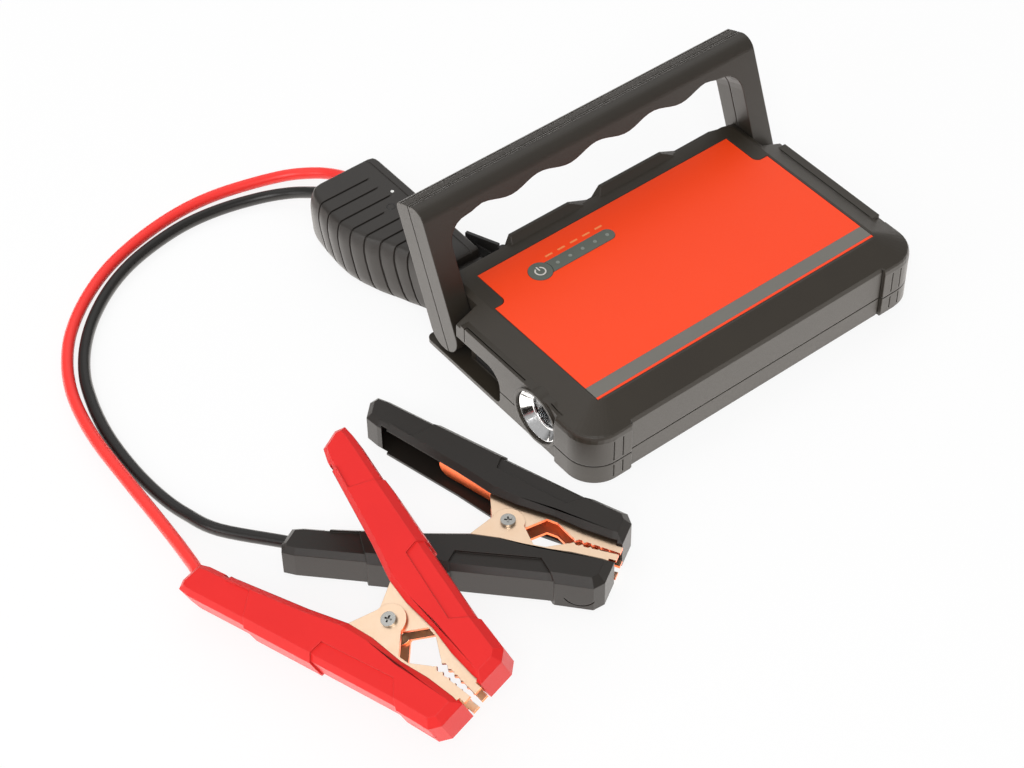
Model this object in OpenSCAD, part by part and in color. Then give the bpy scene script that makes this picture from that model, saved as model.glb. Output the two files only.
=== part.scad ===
// Portable jump starter pack with a folding carry handle, a plug-in smart lead and two battery clamps.
// The origin is the middle of the flat base of the pack, +Y points to the rear and +Z up.

/* [Body] */
// Width of the case across its side walls
body_w = 231; // [215:1:250]
// Depth of the case from front wall to rear wall
body_d = 139; // [130:1:155]
// Height of the case at its fascia panel
body_h = 42; // [40:0.5:48]
// Radius of the two front corners
corner_r = 16; // [12:0.5:20]
// Thickness of the shell walls
wall = 2.5; // [2:0.1:3]
// Height of the seam between lower and upper shell
seam_h = 14; // [12:0.5:15]
// Height at which the side walls end and the bezel starts to slope
shoulder_h = 34.5; // [33:0.5:36]
// How far the corner bumpers stand out of the walls
bumper_proud = 1.8; // [1:0.1:2.5]
// Length of wall that each corner bumper covers
bumper_run = 26.5; // [22:0.5:30]

/* [Fascia] */
// Width of the bezel left and right of the panel
bezel_side = 19; // [16:0.5:22]
// Depth of the bezel in front of the panel
bezel_front = 17; // [14:0.5:20]
// Depth of the bezel behind the panel
bezel_rear = 12; // [10:0.5:15]
// Thickness of the fascia panel
panel_t = 1.6; // [1.2:0.1:2.2]
// Width of the notches in the rear corners of the panel
notch_w = 8; // [6:0.5:10]
// Length of the notches in the rear corners of the panel
notch_l = 25.5; // [20:0.5:30]
// Width of the stripe along the front edge of the panel
stripe_w = 8.5; // [6:0.5:12]
// Radius of the power button
button_r = 6.8; // [5.5:0.1:8]
// Travel of the power button
button_travel = 0.6; // [0.4:0.1:1]
// Radius of the round end of the level bar
bar_r = 4.3; // [3.5:0.1:5]
// Distance between two lights of the level bar
led_pitch = 8.6; // [8:0.1:9.5]

/* [Handle] */
// Lean of the handle to the rear
handle_lean = 21; // [15:1:25]
// Distance from the pivots to the top of the grip
handle_l = 77; // [70:1:85]
// Front to rear depth of the legs and grip
handle_d = 23; // [20:0.5:25]
// Thickness of the legs
leg_t = 13; // [11:0.5:14]
// Height of the grip at its middle
grip_h = 15.1; // [14:0.1:18]
// Height of the finger waves under the grip
wave_h = 2; // [1:0.1:2.5]
// Distance between two finger waves
wave_pitch = 39.5; // [36:0.5:42]
// Height of the pivots above the base
pivot_h = 18.5; // [18.5:0.1:19.5]
// Distance from the rear wall to the pivots
pivot_back = 15.8; // [15:0.1:18]
// Radius of the pivot pins
pivot_r = 4; // [3:0.1:4.5]

/* [Torch] */
// Outer radius of the torch bezel
torch_r = 15.5; // [13:0.1:15.5]
// Height of the torch axis
torch_h = 20; // [19.5:0.1:20.5]
// Distance from the front wall to the torch axis
torch_in = 43.2; // [41:0.1:48]
// Depth of the torch reflector
torch_depth = 14; // [11:0.5:15]

/* [Ports] */
// Depth of the bay in the left wall
bay_depth = 9.5; // [7:0.5:10]
// Distance from the bay's front end to the leg slot
bay_l = 37; // [34:0.5:40]
// Height of the top edge of the bay
bay_top = 26; // [24:0.5:27]
// Thickness of the port cover
cover_t = 2; // [1.5:0.1:2.4]
// Width of the jump socket recess
socket_w = 26; // [25:0.5:27]
// Height of the jump socket recess
socket_h = 20; // [18:0.5:21]
// Distance of the jump socket from the left wall
socket_in = 33.5; // [33:0.5:35]
// Length of the open socket flap
flap_l = 26; // [20:1:28]

/* [Plug] */
// Height of the smart plug
plug_h = 34.5; // [33:0.5:35.5]
// Distance of the plug from the rear wall
plug_gap = 10; // [9:0.5:12]
// Radius of the contact pins
pin_r = 3; // [2.5:0.1:3.2]
// Length of the contact pins
pin_l = 11; // [9:0.5:12]

/* [Leads] */
// Radius of the two leads
lead_r = 3.4; // [3:0.1:3.6]

/* [Clamps] */
// Thickness of the clamps across their arms
clamp_h = 22; // [21:0.5:24]
// Wall thickness of the clamp covers
cover_wall = 3; // [2.4:0.1:3.2]
// Thickness of the copper jaw plates
jaw_t = 1.6; // [1.2:0.1:1.7]
// Radius of the clamp rivets
rivet_r = 2.7; // [2.4:0.1:3.2]
// Radius of the ears around the rivets
ear_r = 8.5; // [7.5:0.1:9.5]
// Radius of the spring wire
wire_r = 0.9; // [0.7:0.1:1]
// Tilt of the red clamp where it lies over the black one
red_tilt = 22; // [20:1:26]

/* [Hidden] */
$fn = 48;
fine = 96;
eps = 0.01;
fit = 0.05;
gap = 0.3;

// Case
half_w = body_w / 2;
half_d = body_d / 2;
edge_in = 1.6;
rear_r = 4;
top_r = 6;
rim_d = 3;
panel_x = half_w - bezel_side;
panel_y0 = bezel_front - half_d;
panel_y1 = half_d - bezel_rear;
panel_z = body_h - panel_t;
plate_t = 2.4;
plate_z = panel_z - plate_t;
border = 1.6;
rail_w = 5;
rail_rise = 2.2;
rail_slot_w = 0.7;
left_slot_in = 1.6;
bumper_soft = 2;
rail_y0 = -38.5;
rail_y1 = half_d - 32;
hump_rise = 3.6;
hump_base = body_h - 3;
hump_d = 8;
lip_w = 0.8;

// Handle place and leg slots
leg_out = half_w - 0.5;
leg_in = leg_out - leg_t;
slot_in = leg_in - 0.6;
pivot_y = half_d - pivot_back;
leg_r = handle_d / 2;
slot_front = pivot_y - leg_r - 0.8;
slot_floor = 4;
boss_l = 5.4;
boss_r = 9;
pivot_in = slot_in - boss_l;
pivot_tip = leg_out - 2;
grip_a = handle_l - grip_h;
window_r = 13;
seam_gap = 0.7;
seam_line_h = 0.7;
seam_line_d = 0.7;

// Controls
button_x = 36.1 - panel_x;
button_y = panel_y1 - 18.5;
bar_y = button_y - 0.4;
led_x0 = button_x + 11.6;
leds = 5;
led_r = 1.1;
mark_l = 5;
mark_w = 1.3;
mark_y = button_y + 7.3;
mark_t = 0.4;
control_z = body_h + 0.15;
stripe_y = panel_y0 + 1.5;

// Ports
bay_y1 = slot_front;
bay_y0 = slot_front - bay_l;
bay_floor = slot_floor;
bay_x = half_w - bay_depth;
cover_x = bay_x - cover_t - 0.2;
cover_y0 = bay_y0 + 8;
cover_l = bay_l - 12;
cover_z0 = bay_floor + 0.8;
cover_h = bay_top - bay_floor - 1.8;
block_d = 15;
socket_x = socket_in - half_w;
socket_z = 19.5;
recess_d = 7;
socket_d = 12;
pin_pitch = 12;
tube_t = 1;
flap_x = socket_x + socket_w / 2 + 9;
flap_y = half_d + 2.5;
flap_t = 1.8;
flap_z = 8;
flap_turn = 13;
flap_pin_r = 0.8;
knuckle_r = 2;
knuckle_h = 3;
flap_h = 28;

// Torch
torch_y = torch_in - half_d;
torch_z = torch_h;
lens_t = 1.6;
cone_w = 5;
cone_l = 5.5;
lens_r = torch_r - cone_w + 1;
bezel_in = 0.4;
hood_t = 1.7;
hood_out = 1.2;
led_hole = 3;
torch_wall = 2.2;

// Inside the case
tray_t = 2;
cell_w = 130;
cell_d = 84;
cell_t = 8.8;
cells = 3;
cell_x = 6;
cell_y = -6;
board_t = 1.6;
board_z = plate_z - 4;
board_x = 0.5 - panel_x;
board_y = panel_y1 - 45.5;
board_w = 88;
board_d = 38;
post_r = 4;
screw_r = 1.4;
screw_head_r = 2.9;
screw_sink = 3;
post_in = 29.5;
posts = [[post_in - half_w, 15.5 - half_d], [half_w - post_in, 15.5 - half_d], [0, 11.5 - half_d],
    [-half_w * 0.45, half_d - 11.5], [half_w * 0.45, half_d - 11.5], [half_w - 25.5, 16]];

// Smart plug
plug_y = half_d + plug_gap;
plug_z0 = 1;
plug_z1 = plug_z0 + plug_h;
plug_mid = socket_z;
nose_w = socket_w - 2 * gap;
nose_h = socket_h - 2 * gap;
nose_y = half_d - recess_d + gap;
plug_wall = 4.5;
pin_root = 3;
plug_led_r = 1;
plug_ring_r = 2.5;
plug_split = 0.1;

// Clamp places
black_at = [-half_w - 54.5, -half_d - 2.2, 0];
black_turn = -59;
red_at = [black_at[0] - 84.5, black_at[1] - 25.8, 57.5 * sin(red_tilt) + 0.1];
red_turn = -86;
cover_edge = 4;
cover_foot = 1.5;
cover_step = 1.2;
hook_r = 8.7;
plate_gap = 0.4;
plate_a = cover_wall + plate_gap;
plate_b = plate_a + jaw_t + 0.1;
rivet_head_r = rivet_r + 1.1;
rivet_head_h = 1.7;
coil_r = rivet_r + wire_r + 0.35;
tail_axis = [-76, 44.5];
ferrule_l = 10;
ferrule_r = 4.2;

// Lead routes from the plug to the clamp tails
red_route = [[-80, 177.5, 17], [-79.5, 188, 15], [-81, 200, 11], [-87, 213, 7], [-101, 225, 4.5],
    [-126, 233.5, 4], [-149, 237.5, 4], [-172, 237, 4], [-198, 232, 4], [-223, 223, 4],
    [-246, 209, 4], [-265, 192, 4], [-278, 174, 4], [-287, 155, 4.5], [-293, 134, 5.5],
    [-297, 110, 7], [-299, 80, 7.5], [-300.5, 52, 8], [-302.5, 28, 10], [-305, 9, 13]];
black_route = [[-97, 177.5, 17], [-97.5, 187, 15], [-101, 197, 11], [-109, 208.5, 7], [-123, 218, 4.5],
    [-145, 224.5, 4], [-167, 226.5, 4], [-189, 224, 4], [-211, 218, 4], [-231, 208, 4],
    [-250, 193.5, 4], [-265, 177, 4], [-276, 159, 4], [-283, 140, 4], [-287.5, 122, 4],
    [-290, 104, 4], [-291, 82, 4], [-290, 61, 4.5], [-287, 43, 5.5], [-281, 21, 9]];
lead_sides = 12;

// Rounded outline helpers
function arc(c, r, a0, a1, n) = [for (i = [0:n]) let (a = a0 + (a1 - a0) * i / n) c + r * [cos(a), sin(a)]];
function unit(v) = v / norm(v);
function side_normal(a, b) = let (d = unit(b - a)) [-d[1], d[0]];
function inset(p, k) = let (n = len(p)) [for (i = [0:n - 1])
    let (a = side_normal(p[(i + n - 1) % n], p[i]), b = side_normal(p[i], p[(i + 1) % n]))
    p[i] + (a + b) * k / (1 + a * b)];

// Smooth route through its points, with one point added in each span
function spline(a, b, c, d, t) = 0.5 * (2 * b + (c - a) * t + (2 * a - 5 * b + 4 * c - d) * t * t
    + (3 * b - a - 3 * c + d) * t * t * t);
function smooth(p) = let (n = len(p) - 1) [for (i = [0:2 * n])
    let (k = min(floor(i / 2), n - 1), t = (i - 2 * k) / 2)
    spline(p[max(k - 1, 0)], p[k], p[k + 1], p[min(k + 2, n)], t)];

// Solid between outlines of the same length, each at its own height
module loft(rings, zs) {
    n = len(rings[0]);
    m = len(rings);
    pts = [for (j = [0:m - 1]) for (p = rings[j]) [p[0], p[1], zs[j]]];
    sides = [for (j = [0:m - 2]) for (i = [0:n - 1]) each [
        [j * n + i, (j + 1) * n + i, (j + 1) * n + (i + 1) % n],
        [j * n + i, (j + 1) * n + (i + 1) % n, j * n + (i + 1) % n]]];
    polyhedron(pts, concat([[for (i = [0:n - 1]) i]], sides, [[for (i = [n - 1:-1:0]) (m - 1) * n + i]]));
}

// Round tube along a route, its ends square to the given directions
module tube(route, r, sides, first, last) {
    n = len(route);
    dirs = concat([first], [for (i = [1:n - 2]) unit(route[i + 1] - route[i - 1])], [last]);
    pts = [for (i = [0:n - 1])
        let (s = unit(cross(dirs[i], [0, 0, 1])), u = cross(s, dirs[i]))
        for (k = [0:sides - 1]) route[i] + r * (s * cos(360 * k / sides) + u * sin(360 * k / sides))];
    faces = [for (i = [0:n - 2]) for (k = [0:sides - 1]) each [
        [i * sides + k, i * sides + (k + 1) % sides, (i + 1) * sides + (k + 1) % sides],
        [i * sides + k, (i + 1) * sides + (k + 1) % sides, (i + 1) * sides + k]]];
    near_end = [for (k = [sides - 1:-1:0]) k];
    far_end = [for (k = [0:sides - 1]) (n - 1) * sides + k];
    polyhedron(pts, concat([near_end], faces, [far_end]));
}

// Block with round upright corners, radius r at the front and b at the rear
module slab(w, d, h, r, b) {
    for (s = [-1, 1]) {
        translate([s * (w / 2 - r), r - d / 2, 0]) cylinder(h = h, r = r);
        translate([s * (w / 2 - b), d / 2 - b, 0]) cylinder(h = h, r = b);
    }
    translate([-w / 2, r - d / 2, 0]) cube([w, d - r - b, h]);
    translate([r - w / 2, -d / 2, 0]) cube([w - 2 * r, r, h]);
    translate([b - w / 2, d / 2 - b, 0]) cube([w - 2 * b, b, h]);
}

// Case outside, less k on every side
module case_solid(k) {
    mid_y = (panel_y0 + panel_y1) / 2 + (bezel_rear - rim_d - border) / 2;
    top_w = 2 * (panel_x + border - k);
    top_d = panel_y1 - panel_y0 + bezel_rear - rim_d + border - 2 * k;
    translate([0, 0, k]) slab(body_w - 2 * k - edge_in, body_d - 2 * k - edge_in, edge_in,
        corner_r - k, rear_r - k);
    translate([0, 0, k + edge_in]) slab(body_w - 2 * k, body_d - 2 * k, shoulder_h - edge_in - 2 * k,
        corner_r - k, rear_r - k);
    hull() {
        translate([0, 0, shoulder_h - k - 1]) slab(body_w - 2 * k, body_d - 2 * k, 1,
            corner_r - k, rear_r - k, $fn = 32);
        translate([0, mid_y, body_h - k - 0.5]) slab(top_w, top_d, 0.5, top_r, top_r, $fn = 32);
    }
}

module inside() {
    translate([0, 0, wall]) slab(body_w - 2 * wall, body_d - 2 * wall, shoulder_h - 2 * wall,
        corner_r - wall, rear_r - wall / 2);
    hull() {
        translate([0, 0, shoulder_h - wall - 1]) slab(body_w - 2 * wall, body_d - 2 * wall, 1,
            corner_r - wall, rear_r - wall / 2, $fn = 32);
        translate([0, (panel_y0 + panel_y1) / 2, plate_z - 0.5])
            slab(2 * panel_x - 2 * wall, panel_y1 - panel_y0 - 2 * wall, 0.5, top_r, top_r, $fn = 32);
    }
}

// Bumpers around the two front corners
module bumpers() {
    for (s = [-1, 1]) intersection() {
        union() {
            translate([0, 0, edge_in]) slab(body_w + 2 * bumper_proud, body_d + 2 * bumper_proud,
                shoulder_h - edge_in - 2 - bumper_soft, corner_r + bumper_proud, rear_r);
            slab(body_w + 2 * bumper_proud - edge_in, body_d + 2 * bumper_proud - edge_in, edge_in,
                corner_r + bumper_proud, rear_r);
        }
        bumper_box(s, body_h);
    }
}

// Corner of the bezel over each bumper
module bumper_tops() {
    for (s = [-1, 1]) intersection() {
        hull() {
            for (r = [[0, 2.1 + bumper_soft], [0.35, 1.9], [1.1, 0.5]]) let (k = bumper_proud - r[0])
                translate([0, 0, shoulder_h - r[1]])
                slab(body_w + 2 * k, body_d + 2 * k, 0.1, corner_r + k, rear_r, $fn = 32);
            translate([0, 0, body_h - 1]) slab(2 * (panel_x + border), -2 * (panel_y0 - border), 0.8,
                top_r, top_r, $fn = 32);
        }
        bumper_box(s, body_h);
    }
}

module bumper_box(s, h) {
    translate([s * (half_w - bumper_run / 2 + 5), -half_d + bumper_run / 2 - 5, h / 2])
        cube([bumper_run + 10, bumper_run + 10, h], center = true);
}

// Bevel on the front edge between the bumpers
module front_bevel() {
    run = half_w - bumper_run - 0.6;
    rotate([90, 0, 90]) translate([-half_d, shoulder_h, -run]) linear_extrude(2 * run)
        polygon([[-1, 2.5], [-1, -3.85], [2.1, 2.5]]);
}

// Short upright grooves in the bumpers, and the deep groove beside each bumper
module bumper_grooves() {
    for (s = [-1, 1]) {
        for (x = [6, 12], z = [[3.5, 12], [15.5, 29.5]])
            translate([s * (half_w - bumper_run + x) - 0.4, -half_d - bumper_proud - 1, z[0]])
                cube([0.8, 1.6, z[1] - z[0]]);
        translate([s * (half_w - bumper_run - 0.6) - 0.5, -half_d - 1, -1]) cube([1, 2, shoulder_h + 0.5]);
    }
}

// Spaces cut into the sides and rear, with their walls when g is more than nothing
module leg_slots(g) {
    for (s = [-1, 1]) translate([s > 0 ? slot_in - g : -half_w - 5, slot_front - g, slot_floor - g])
        cube([half_w - slot_in + 5 + g, half_d, body_h]);
}

module bay(g) {
    h = bay_top - bay_floor + 2 * g;
    r0 = 4 + g;
    r1 = 11 + g;
    y0 = bay_y0 - g;
    z0 = bay_floor - g;
    y1 = bay_y1 + 1;
    translate([-half_w - 5, 0, 0]) rotate([90, 0, 90]) linear_extrude(bay_depth + 5 + g)
        polygon(concat([[y1, z0 + h]], arc([y0 + r1, z0 + h - r1], r1, 90, 180, 8),
            arc([y0 + r0, z0 + r0], r0, 180, 270, 4), [[y1, z0]]));
}

module cover_seat(g) {
    translate([-bay_x - 1, cover_y0 - gap - g, cover_z0 - gap - g])
        cube([1 + bay_x - cover_x + 0.2 + g, cover_l + 2 * gap + 2 * g, cover_h + 2 * gap + 2 * g]);
}

// Windows over the two charging ports and the small round port
module port_holes(k) {
    x = -cover_x - 1;
    for (y = [4.5, 13.5]) translate([x, cover_y0 + y - k, 8 - k]) cube([9, 5.5 + 2 * k, 12.5 + 2 * k]);
    translate([x, cover_y0 + 21.5, 14]) rotate([0, 90, 0]) cylinder(h = 9, r = 1.6 + k);
}

module torch_bore(g) {
    translate([-half_w - bumper_proud - 5, torch_y, torch_z]) rotate([0, 90, 0])
        cylinder(h = torch_depth + 5 + bumper_proud + 4, r = torch_r + fit + g, $fn = fine);
}

// Round hood that stands out of the wall around the torch
module torch_hood() {
    translate([-half_w - hood_out, torch_y, torch_z]) rotate([0, 90, 0])
        cylinder(h = rail_w + hood_out + 1, r = torch_r + hood_t, $fn = fine);
}

module socket_recess(g) {
    translate([socket_x - socket_w / 2 - g, half_d - recess_d - g, socket_z - socket_h / 2 - g])
        cube([socket_w + 2 * g, recess_d + g + 5, socket_h + 2 * g]);
}

module side_spaces(g) {
    leg_slots(g);
    bay(g);
    torch_bore(g > 0 ? torch_wall : 0);
    socket_recess(g);
    cover_seat(g > 0 ? 1 : 0);
}

// Shadow line under the seam, around case, bumpers and hood
module seam_line() {
    proud = bumper_proud - seam_line_d;
    translate([0, 0, seam_h - seam_line_h]) difference() {
        translate([-body_w, -body_d, 0]) cube([2 * body_w, 2 * body_d, 5]);
        translate([0, 0, -1]) slab(body_w - 2 * seam_line_d, body_d - 2 * seam_line_d, 7,
            corner_r - seam_line_d, rear_r - seam_line_d);
        for (s = [-1, 1]) intersection() {
            translate([0, 0, -1]) slab(body_w + 2 * proud, body_d + 2 * proud, 7, corner_r + proud, rear_r);
            bumper_box(s, body_h);
        }
        translate([-half_w - hood_out, torch_y - torch_r - hood_t + 1, -1])
            cube([6, 2 * (torch_r + hood_t - 1), 7]);
    }
}

// Side rails outside the long slots, the left one running out over the torch
module rails() {
    translate([half_w - rail_w, rail_y0, shoulder_h - 2]) cube([rail_w, rail_y1 - rail_y0, 2 + rail_rise]);
    translate([-half_w, 0, shoulder_h]) rotate([90, 0, 90]) linear_extrude(rail_w)
        polygon([[rail_y1, -2], [rail_y1, rail_rise], [rail_y0 + 2, rail_rise], [rail_y0 - 10, -0.7],
            [rail_y0 - 10, -2]]);
}

module rail_slots() {
    translate([half_w - rail_w - rail_slot_w, rail_y0 + 2, shoulder_h - 0.8])
        cube([rail_slot_w, rail_y1 - rail_y0 - 4, 10]);
    left_x = left_slot_in - half_w;
    left_y = torch_y + torch_r - 4;
    translate([left_x, left_y, shoulder_h + 0.7]) cube([rail_slot_w, rail_y1 - 3 - left_y, 10]);
    translate([left_x, torch_y - 18.5, shoulder_h + 0.4]) cube([rail_slot_w, 9, 10]);
    // Nick over the end of the left rail
    translate([left_x - 3, rail_y1 - 3.6, shoulder_h + 1.2]) cube([3 + rail_slot_w, 0.6, 10]);
    translate([left_x - 3, rail_y1 - 3.6, bay_top + 1]) cube([3 - left_slot_in + 0.5, 0.6, 20]);
}

// Rear rim with two long humps that slope to the front
module hump(x0, x1, x2, x3) {
    hull() {
        translate([x0, half_d - hump_d, hump_base - 1.5]) cube([x3 - x0, hump_d, 1]);
        translate([x1, half_d - 2, body_h + hump_rise - 0.5]) cube([x2 - x1, 2, 0.5]);
    }
}

module rear_rim() {
    x0 = socket_x + socket_w / 2 + 5;
    translate([0, half_d, 0]) rotate([90, 0, 0]) linear_extrude(rim_d + 1.5)
        polygon([[x0, shoulder_h], [x0, hump_base], [86, hump_base + 1.4], [panel_x, hump_base - 1.5],
            [panel_x, shoulder_h]]);
    hump(x0 + 3, x0 + 6, -17, -1);
    hump(-1, 5, 49, 64);
}

module pivot_bosses() {
    for (s = [-1, 1]) translate([s * (slot_in - boss_l / 2), pivot_y, pivot_h]) rotate([0, 90, 0])
        cylinder(h = boss_l, r = boss_r, center = true);
}

module pivot_bores(r) {
    for (s = [-1, 1]) translate([s * (pivot_in + pivot_tip) / 2, pivot_y, pivot_h]) rotate([0, 90, 0])
        cylinder(h = pivot_tip - pivot_in, r = r, center = true);
}

module panel_outline(k) {
    x = panel_x - k;
    y0 = panel_y0 + k;
    y1 = panel_y1 - k;
    r = 4;
    half = concat([[x, y0]], [[x, y1 - notch_l]],
        [for (p = arc([x - notch_w + r, y1 - notch_l + r], r, 270, 180, 6)) p], [[x - notch_w, y1]]);
    polygon(concat(half, [for (i = [len(half) - 1:-1:0]) [-half[i][0], half[i][1]]]));
}

module bar_outline(k) {
    hull() {
        translate([button_x + 4, bar_y]) circle(bar_r + k);
        translate([led_x0 + (leds - 1) * led_pitch, bar_y]) circle(bar_r + k);
    }
}

module at_leds(dy) {
    for (i = [0:leds - 1]) translate([led_x0 + i * led_pitch, dy]) children();
}

module lower_shell() {
    color("#4a4844") difference() {
        union() {
            difference() {
                union() {
                    case_solid(0);
                    bumpers();
                    torch_hood();
                }
                inside();
                translate([-body_w, -body_d, seam_h]) cube([2 * body_w, 2 * body_d, body_h]);
            }
            intersection() {
                union() {
                    case_solid(0);
                    bumpers();
                }
                union() {
                    side_spaces(wall);
                    for (p = posts) translate([p[0], p[1], 0]) cylinder(h = seam_h, r = post_r + 0.8);
                }
                translate([-body_w, -body_d, 0]) cube([2 * body_w, 2 * body_d, seam_h]);
            }
        }
        side_spaces(0);
        seam_line();
        bumper_grooves();
        port_holes(0.2);
        for (p = posts) translate([p[0], p[1], -1]) {
            cylinder(h = seam_h + 2, r = screw_r + 0.3);
            cylinder(h = screw_sink + 1, r = screw_head_r + 0.3);
        }
    }
}

module upper_shell() {
    color("#45423e") difference() {
        union() {
            difference() {
                union() {
                    case_solid(0);
                    bumpers();
                    bumper_tops();
                    rails();
                    rear_rim();
                    torch_hood();
                }
                inside();
            }
            intersection() {
                case_solid(0);
                union() {
                    side_spaces(wall);
                    for (p = posts) translate([p[0], p[1], 0]) cylinder(h = plate_z + 1, r = post_r);
                    pivot_bosses();
                    for (x = [board_x + 4, board_x + board_w - 4], y = [board_y + 4, board_y + board_d - 6])
                        translate([x, y, board_z + board_t])
                        cylinder(h = plate_z - board_z, r = 2.5);
                }
            }
        }
        translate([-body_w, -body_d, seam_h - body_h]) cube([2 * body_w, 2 * body_d, body_h]);
        translate([0, 0, panel_z]) linear_extrude(10) panel_outline(-gap);
        side_spaces(0);
        bumper_grooves();
        front_bevel();
        rail_slots();
        pin_holes(pin_r + gap);
        port_holes(0.2);
        pivot_bores(pivot_r + 0.02);
        translate([button_x, button_y, plate_z - 1]) cylinder(h = 10, r = button_r + 0.3);
        for (i = [0:leds - 1]) translate([led_x0 + i * led_pitch, bar_y, plate_z - 1])
            cylinder(h = 10, r = led_r + 0.3);
        for (p = posts) translate([p[0], p[1], 0]) cylinder(h = seam_h + 14, r = screw_r);
    }
}

module fascia_panel() {
    color("#ff4a2a") difference() {
        translate([0, 0, panel_z]) linear_extrude(panel_t - 0.1) panel_outline(0);
        translate([button_x, button_y, panel_z - 1]) cylinder(h = 5, r = button_r + 0.15);
        translate([0, 0, panel_z + 0.7]) linear_extrude(5) bar_outline(0.1);
        for (i = [0:leds - 1]) translate([led_x0 + i * led_pitch, bar_y, panel_z - 1])
            cylinder(h = 5, r = led_r + 0.3);
        translate([-panel_x - 1, stripe_y, body_h - 0.1 - mark_t]) cube([2 * panel_x + 2, stripe_w, 5]);
        translate([0, 0, body_h - 0.1 - mark_t]) linear_extrude(5) at_leds(mark_y)
            square([mark_l, mark_w], center = true);
    }
}

module panel_stripe() {
    color("#7a7770") translate([-panel_x, stripe_y + fit, body_h - 0.1 - mark_t])
        cube([2 * panel_x, stripe_w - 2 * fit, mark_t]);
}

module level_marks() {
    color("#ff9a78") translate([0, 0, body_h - 0.1 - mark_t]) linear_extrude(mark_t)
        at_leds(mark_y) square([mark_l - 2 * fit, mark_w - 2 * fit], center = true);
}

module level_bar() {
    color("#6b7069") difference() {
        translate([0, 0, panel_z + 0.7]) linear_extrude(control_z - panel_z - 0.7) bar_outline(0);
        translate([button_x, button_y, panel_z - 1]) cylinder(h = 5, r = button_r + gap);
        for (i = [0:leds - 1]) translate([led_x0 + i * led_pitch, bar_y, panel_z - 1])
            cylinder(h = 5, r = led_r + fit);
    }
}

module level_lights() {
    color("#aab0aa") for (i = [0:leds - 1]) translate([led_x0 + i * led_pitch, bar_y, board_z + board_t])
        cylinder(h = control_z - board_z - board_t, r = led_r);
}

module power_button() {
    color("#70756e") difference() {
        translate([button_x, button_y, board_z + board_t + 2 + button_travel + 0.1])
            cylinder(h = control_z - board_z - board_t - 2 - button_travel - 0.1, r = button_r);
        translate([0, 0, control_z - mark_t]) power_sign(0);
    }
}

// Broken ring with an upright bar
module power_sign(k) {
    translate([button_x, button_y, 0]) {
        difference() {
            cylinder(h = mark_t + (k > 0 ? 0 : 1), r = 3.3 - k);
            translate([0, 0, -1]) cylinder(h = 5, r = 2.4 + k);
            translate([-1.3 - k, 0, -1]) cube([2.6 + 2 * k, 5, 5]);
        }
        translate([k - 0.45, 0.4 + k, 0]) cube([0.9 - 2 * k, 3.4 - 2 * k, mark_t + (k > 0 ? 0 : 1)]);
    }
}

module power_mark() {
    color("#d8d4ce") translate([0, 0, control_z - mark_t]) power_sign(0.04);
}

module circuit_board() {
    color("#2e6b45") difference() {
        union() {
            translate([board_x, board_y, board_z]) cube([board_w, board_d, board_t]);
            translate([button_x - 3, button_y - 3, board_z + board_t]) cube([6, 6, 2]);
            translate([board_x + 12, board_y + 4, board_z - 2.2]) cube([14, 10, 2.2]);
            translate([board_x + 56, board_y + 6, board_z - 1.6]) cube([9, 9, 1.6]);
        }
        translate([board_x + 74, board_y + 16, board_z - 1]) cylinder(h = 4, r = 1.2);
    }
}

module battery_tray() {
    color("#20242a") translate([cell_x - cell_w / 2, cell_y - cell_d / 2, wall]) difference() {
        translate([-2, -2, 0]) cube([cell_w + 4, cell_d + 4, 12]);
        translate([-gap, -gap, tray_t]) cube([cell_w + 2 * gap, cell_d + 2 * gap, 12]);
    }
}

module battery_cells() {
    color("#9aa4ad") for (i = [0:cells - 1])
        translate([cell_x - cell_w / 2, cell_y - cell_d / 2, wall + tray_t + i * (cell_t + 0.1)])
            cube([cell_w, cell_d, cell_t]);
}

module case_screws() {
    color("#8b8f92") for (p = posts) translate([p[0], p[1], 0]) difference() {
        union() {
            translate([0, 0, screw_sink - 2]) cylinder(h = 2, r = screw_head_r);
            translate([0, 0, screw_sink - eps]) cylinder(h = seam_h + 8 - screw_sink, r = screw_r - 0.05);
        }
        translate([0, 0, screw_sink - 3]) cylinder(h = 2.2, r = 1.1, $fn = 6);
    }
}

// Torch in the left wall, its axis along X
module at_torch() {
    translate([bezel_in - half_w, torch_y, torch_z]) rotate([0, 90, 0]) children();
}

module torch_bezel() {
    color("#d9dadb") at_torch() rotate_extrude($fn = fine)
        polygon([[torch_r - 0.9, 0], [torch_r - 0.3, 0], [torch_r, 0.3], [torch_r, cone_l + 4],
            [lens_r, cone_l + 4], [lens_r, cone_l + 0.6], [torch_r - cone_w, cone_l + 0.6],
            [torch_r - cone_w, cone_l]]);
}

module torch_lens() {
    color("#e8eef2", 0.4) at_torch() translate([0, 0, cone_l + 0.7])
        cylinder(h = lens_t, r = lens_r - fit, $fn = fine);
}

module torch_reflector() {
    r0 = lens_r - fit;
    steps = 8;
    inner = [for (i = [0:steps]) let (t = i / steps)
        [led_hole + (r0 - 1.2 - led_hole) * sqrt(t), torch_depth - t * (torch_depth - cone_l - 3)]];
    color("#c9ccce") at_torch() rotate_extrude($fn = fine)
        polygon(concat(inner, [[r0, cone_l + 2.5], [r0, cone_l + 4.2], [led_hole + 2, torch_depth + 1],
            [led_hole, torch_depth + 1]]));
}

module torch_light() {
    color("#f4f1c9") at_torch() translate([0, 0, torch_depth + 1 + fit]) {
        cylinder(h = board_t, r = torch_r - 4);
        translate([-1.6, -1.6, -1.4]) cube([3.2, 3.2, 1.5]);
    }
}

// Ports on the left side and their cover
module port_block() {
    color("#26282a") difference() {
        translate([-cover_x + 1.25, cover_y0 + 1, wall]) cube([block_d, cover_l - 2, bay_top - wall]);
        port_holes(0);
    }
}

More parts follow.
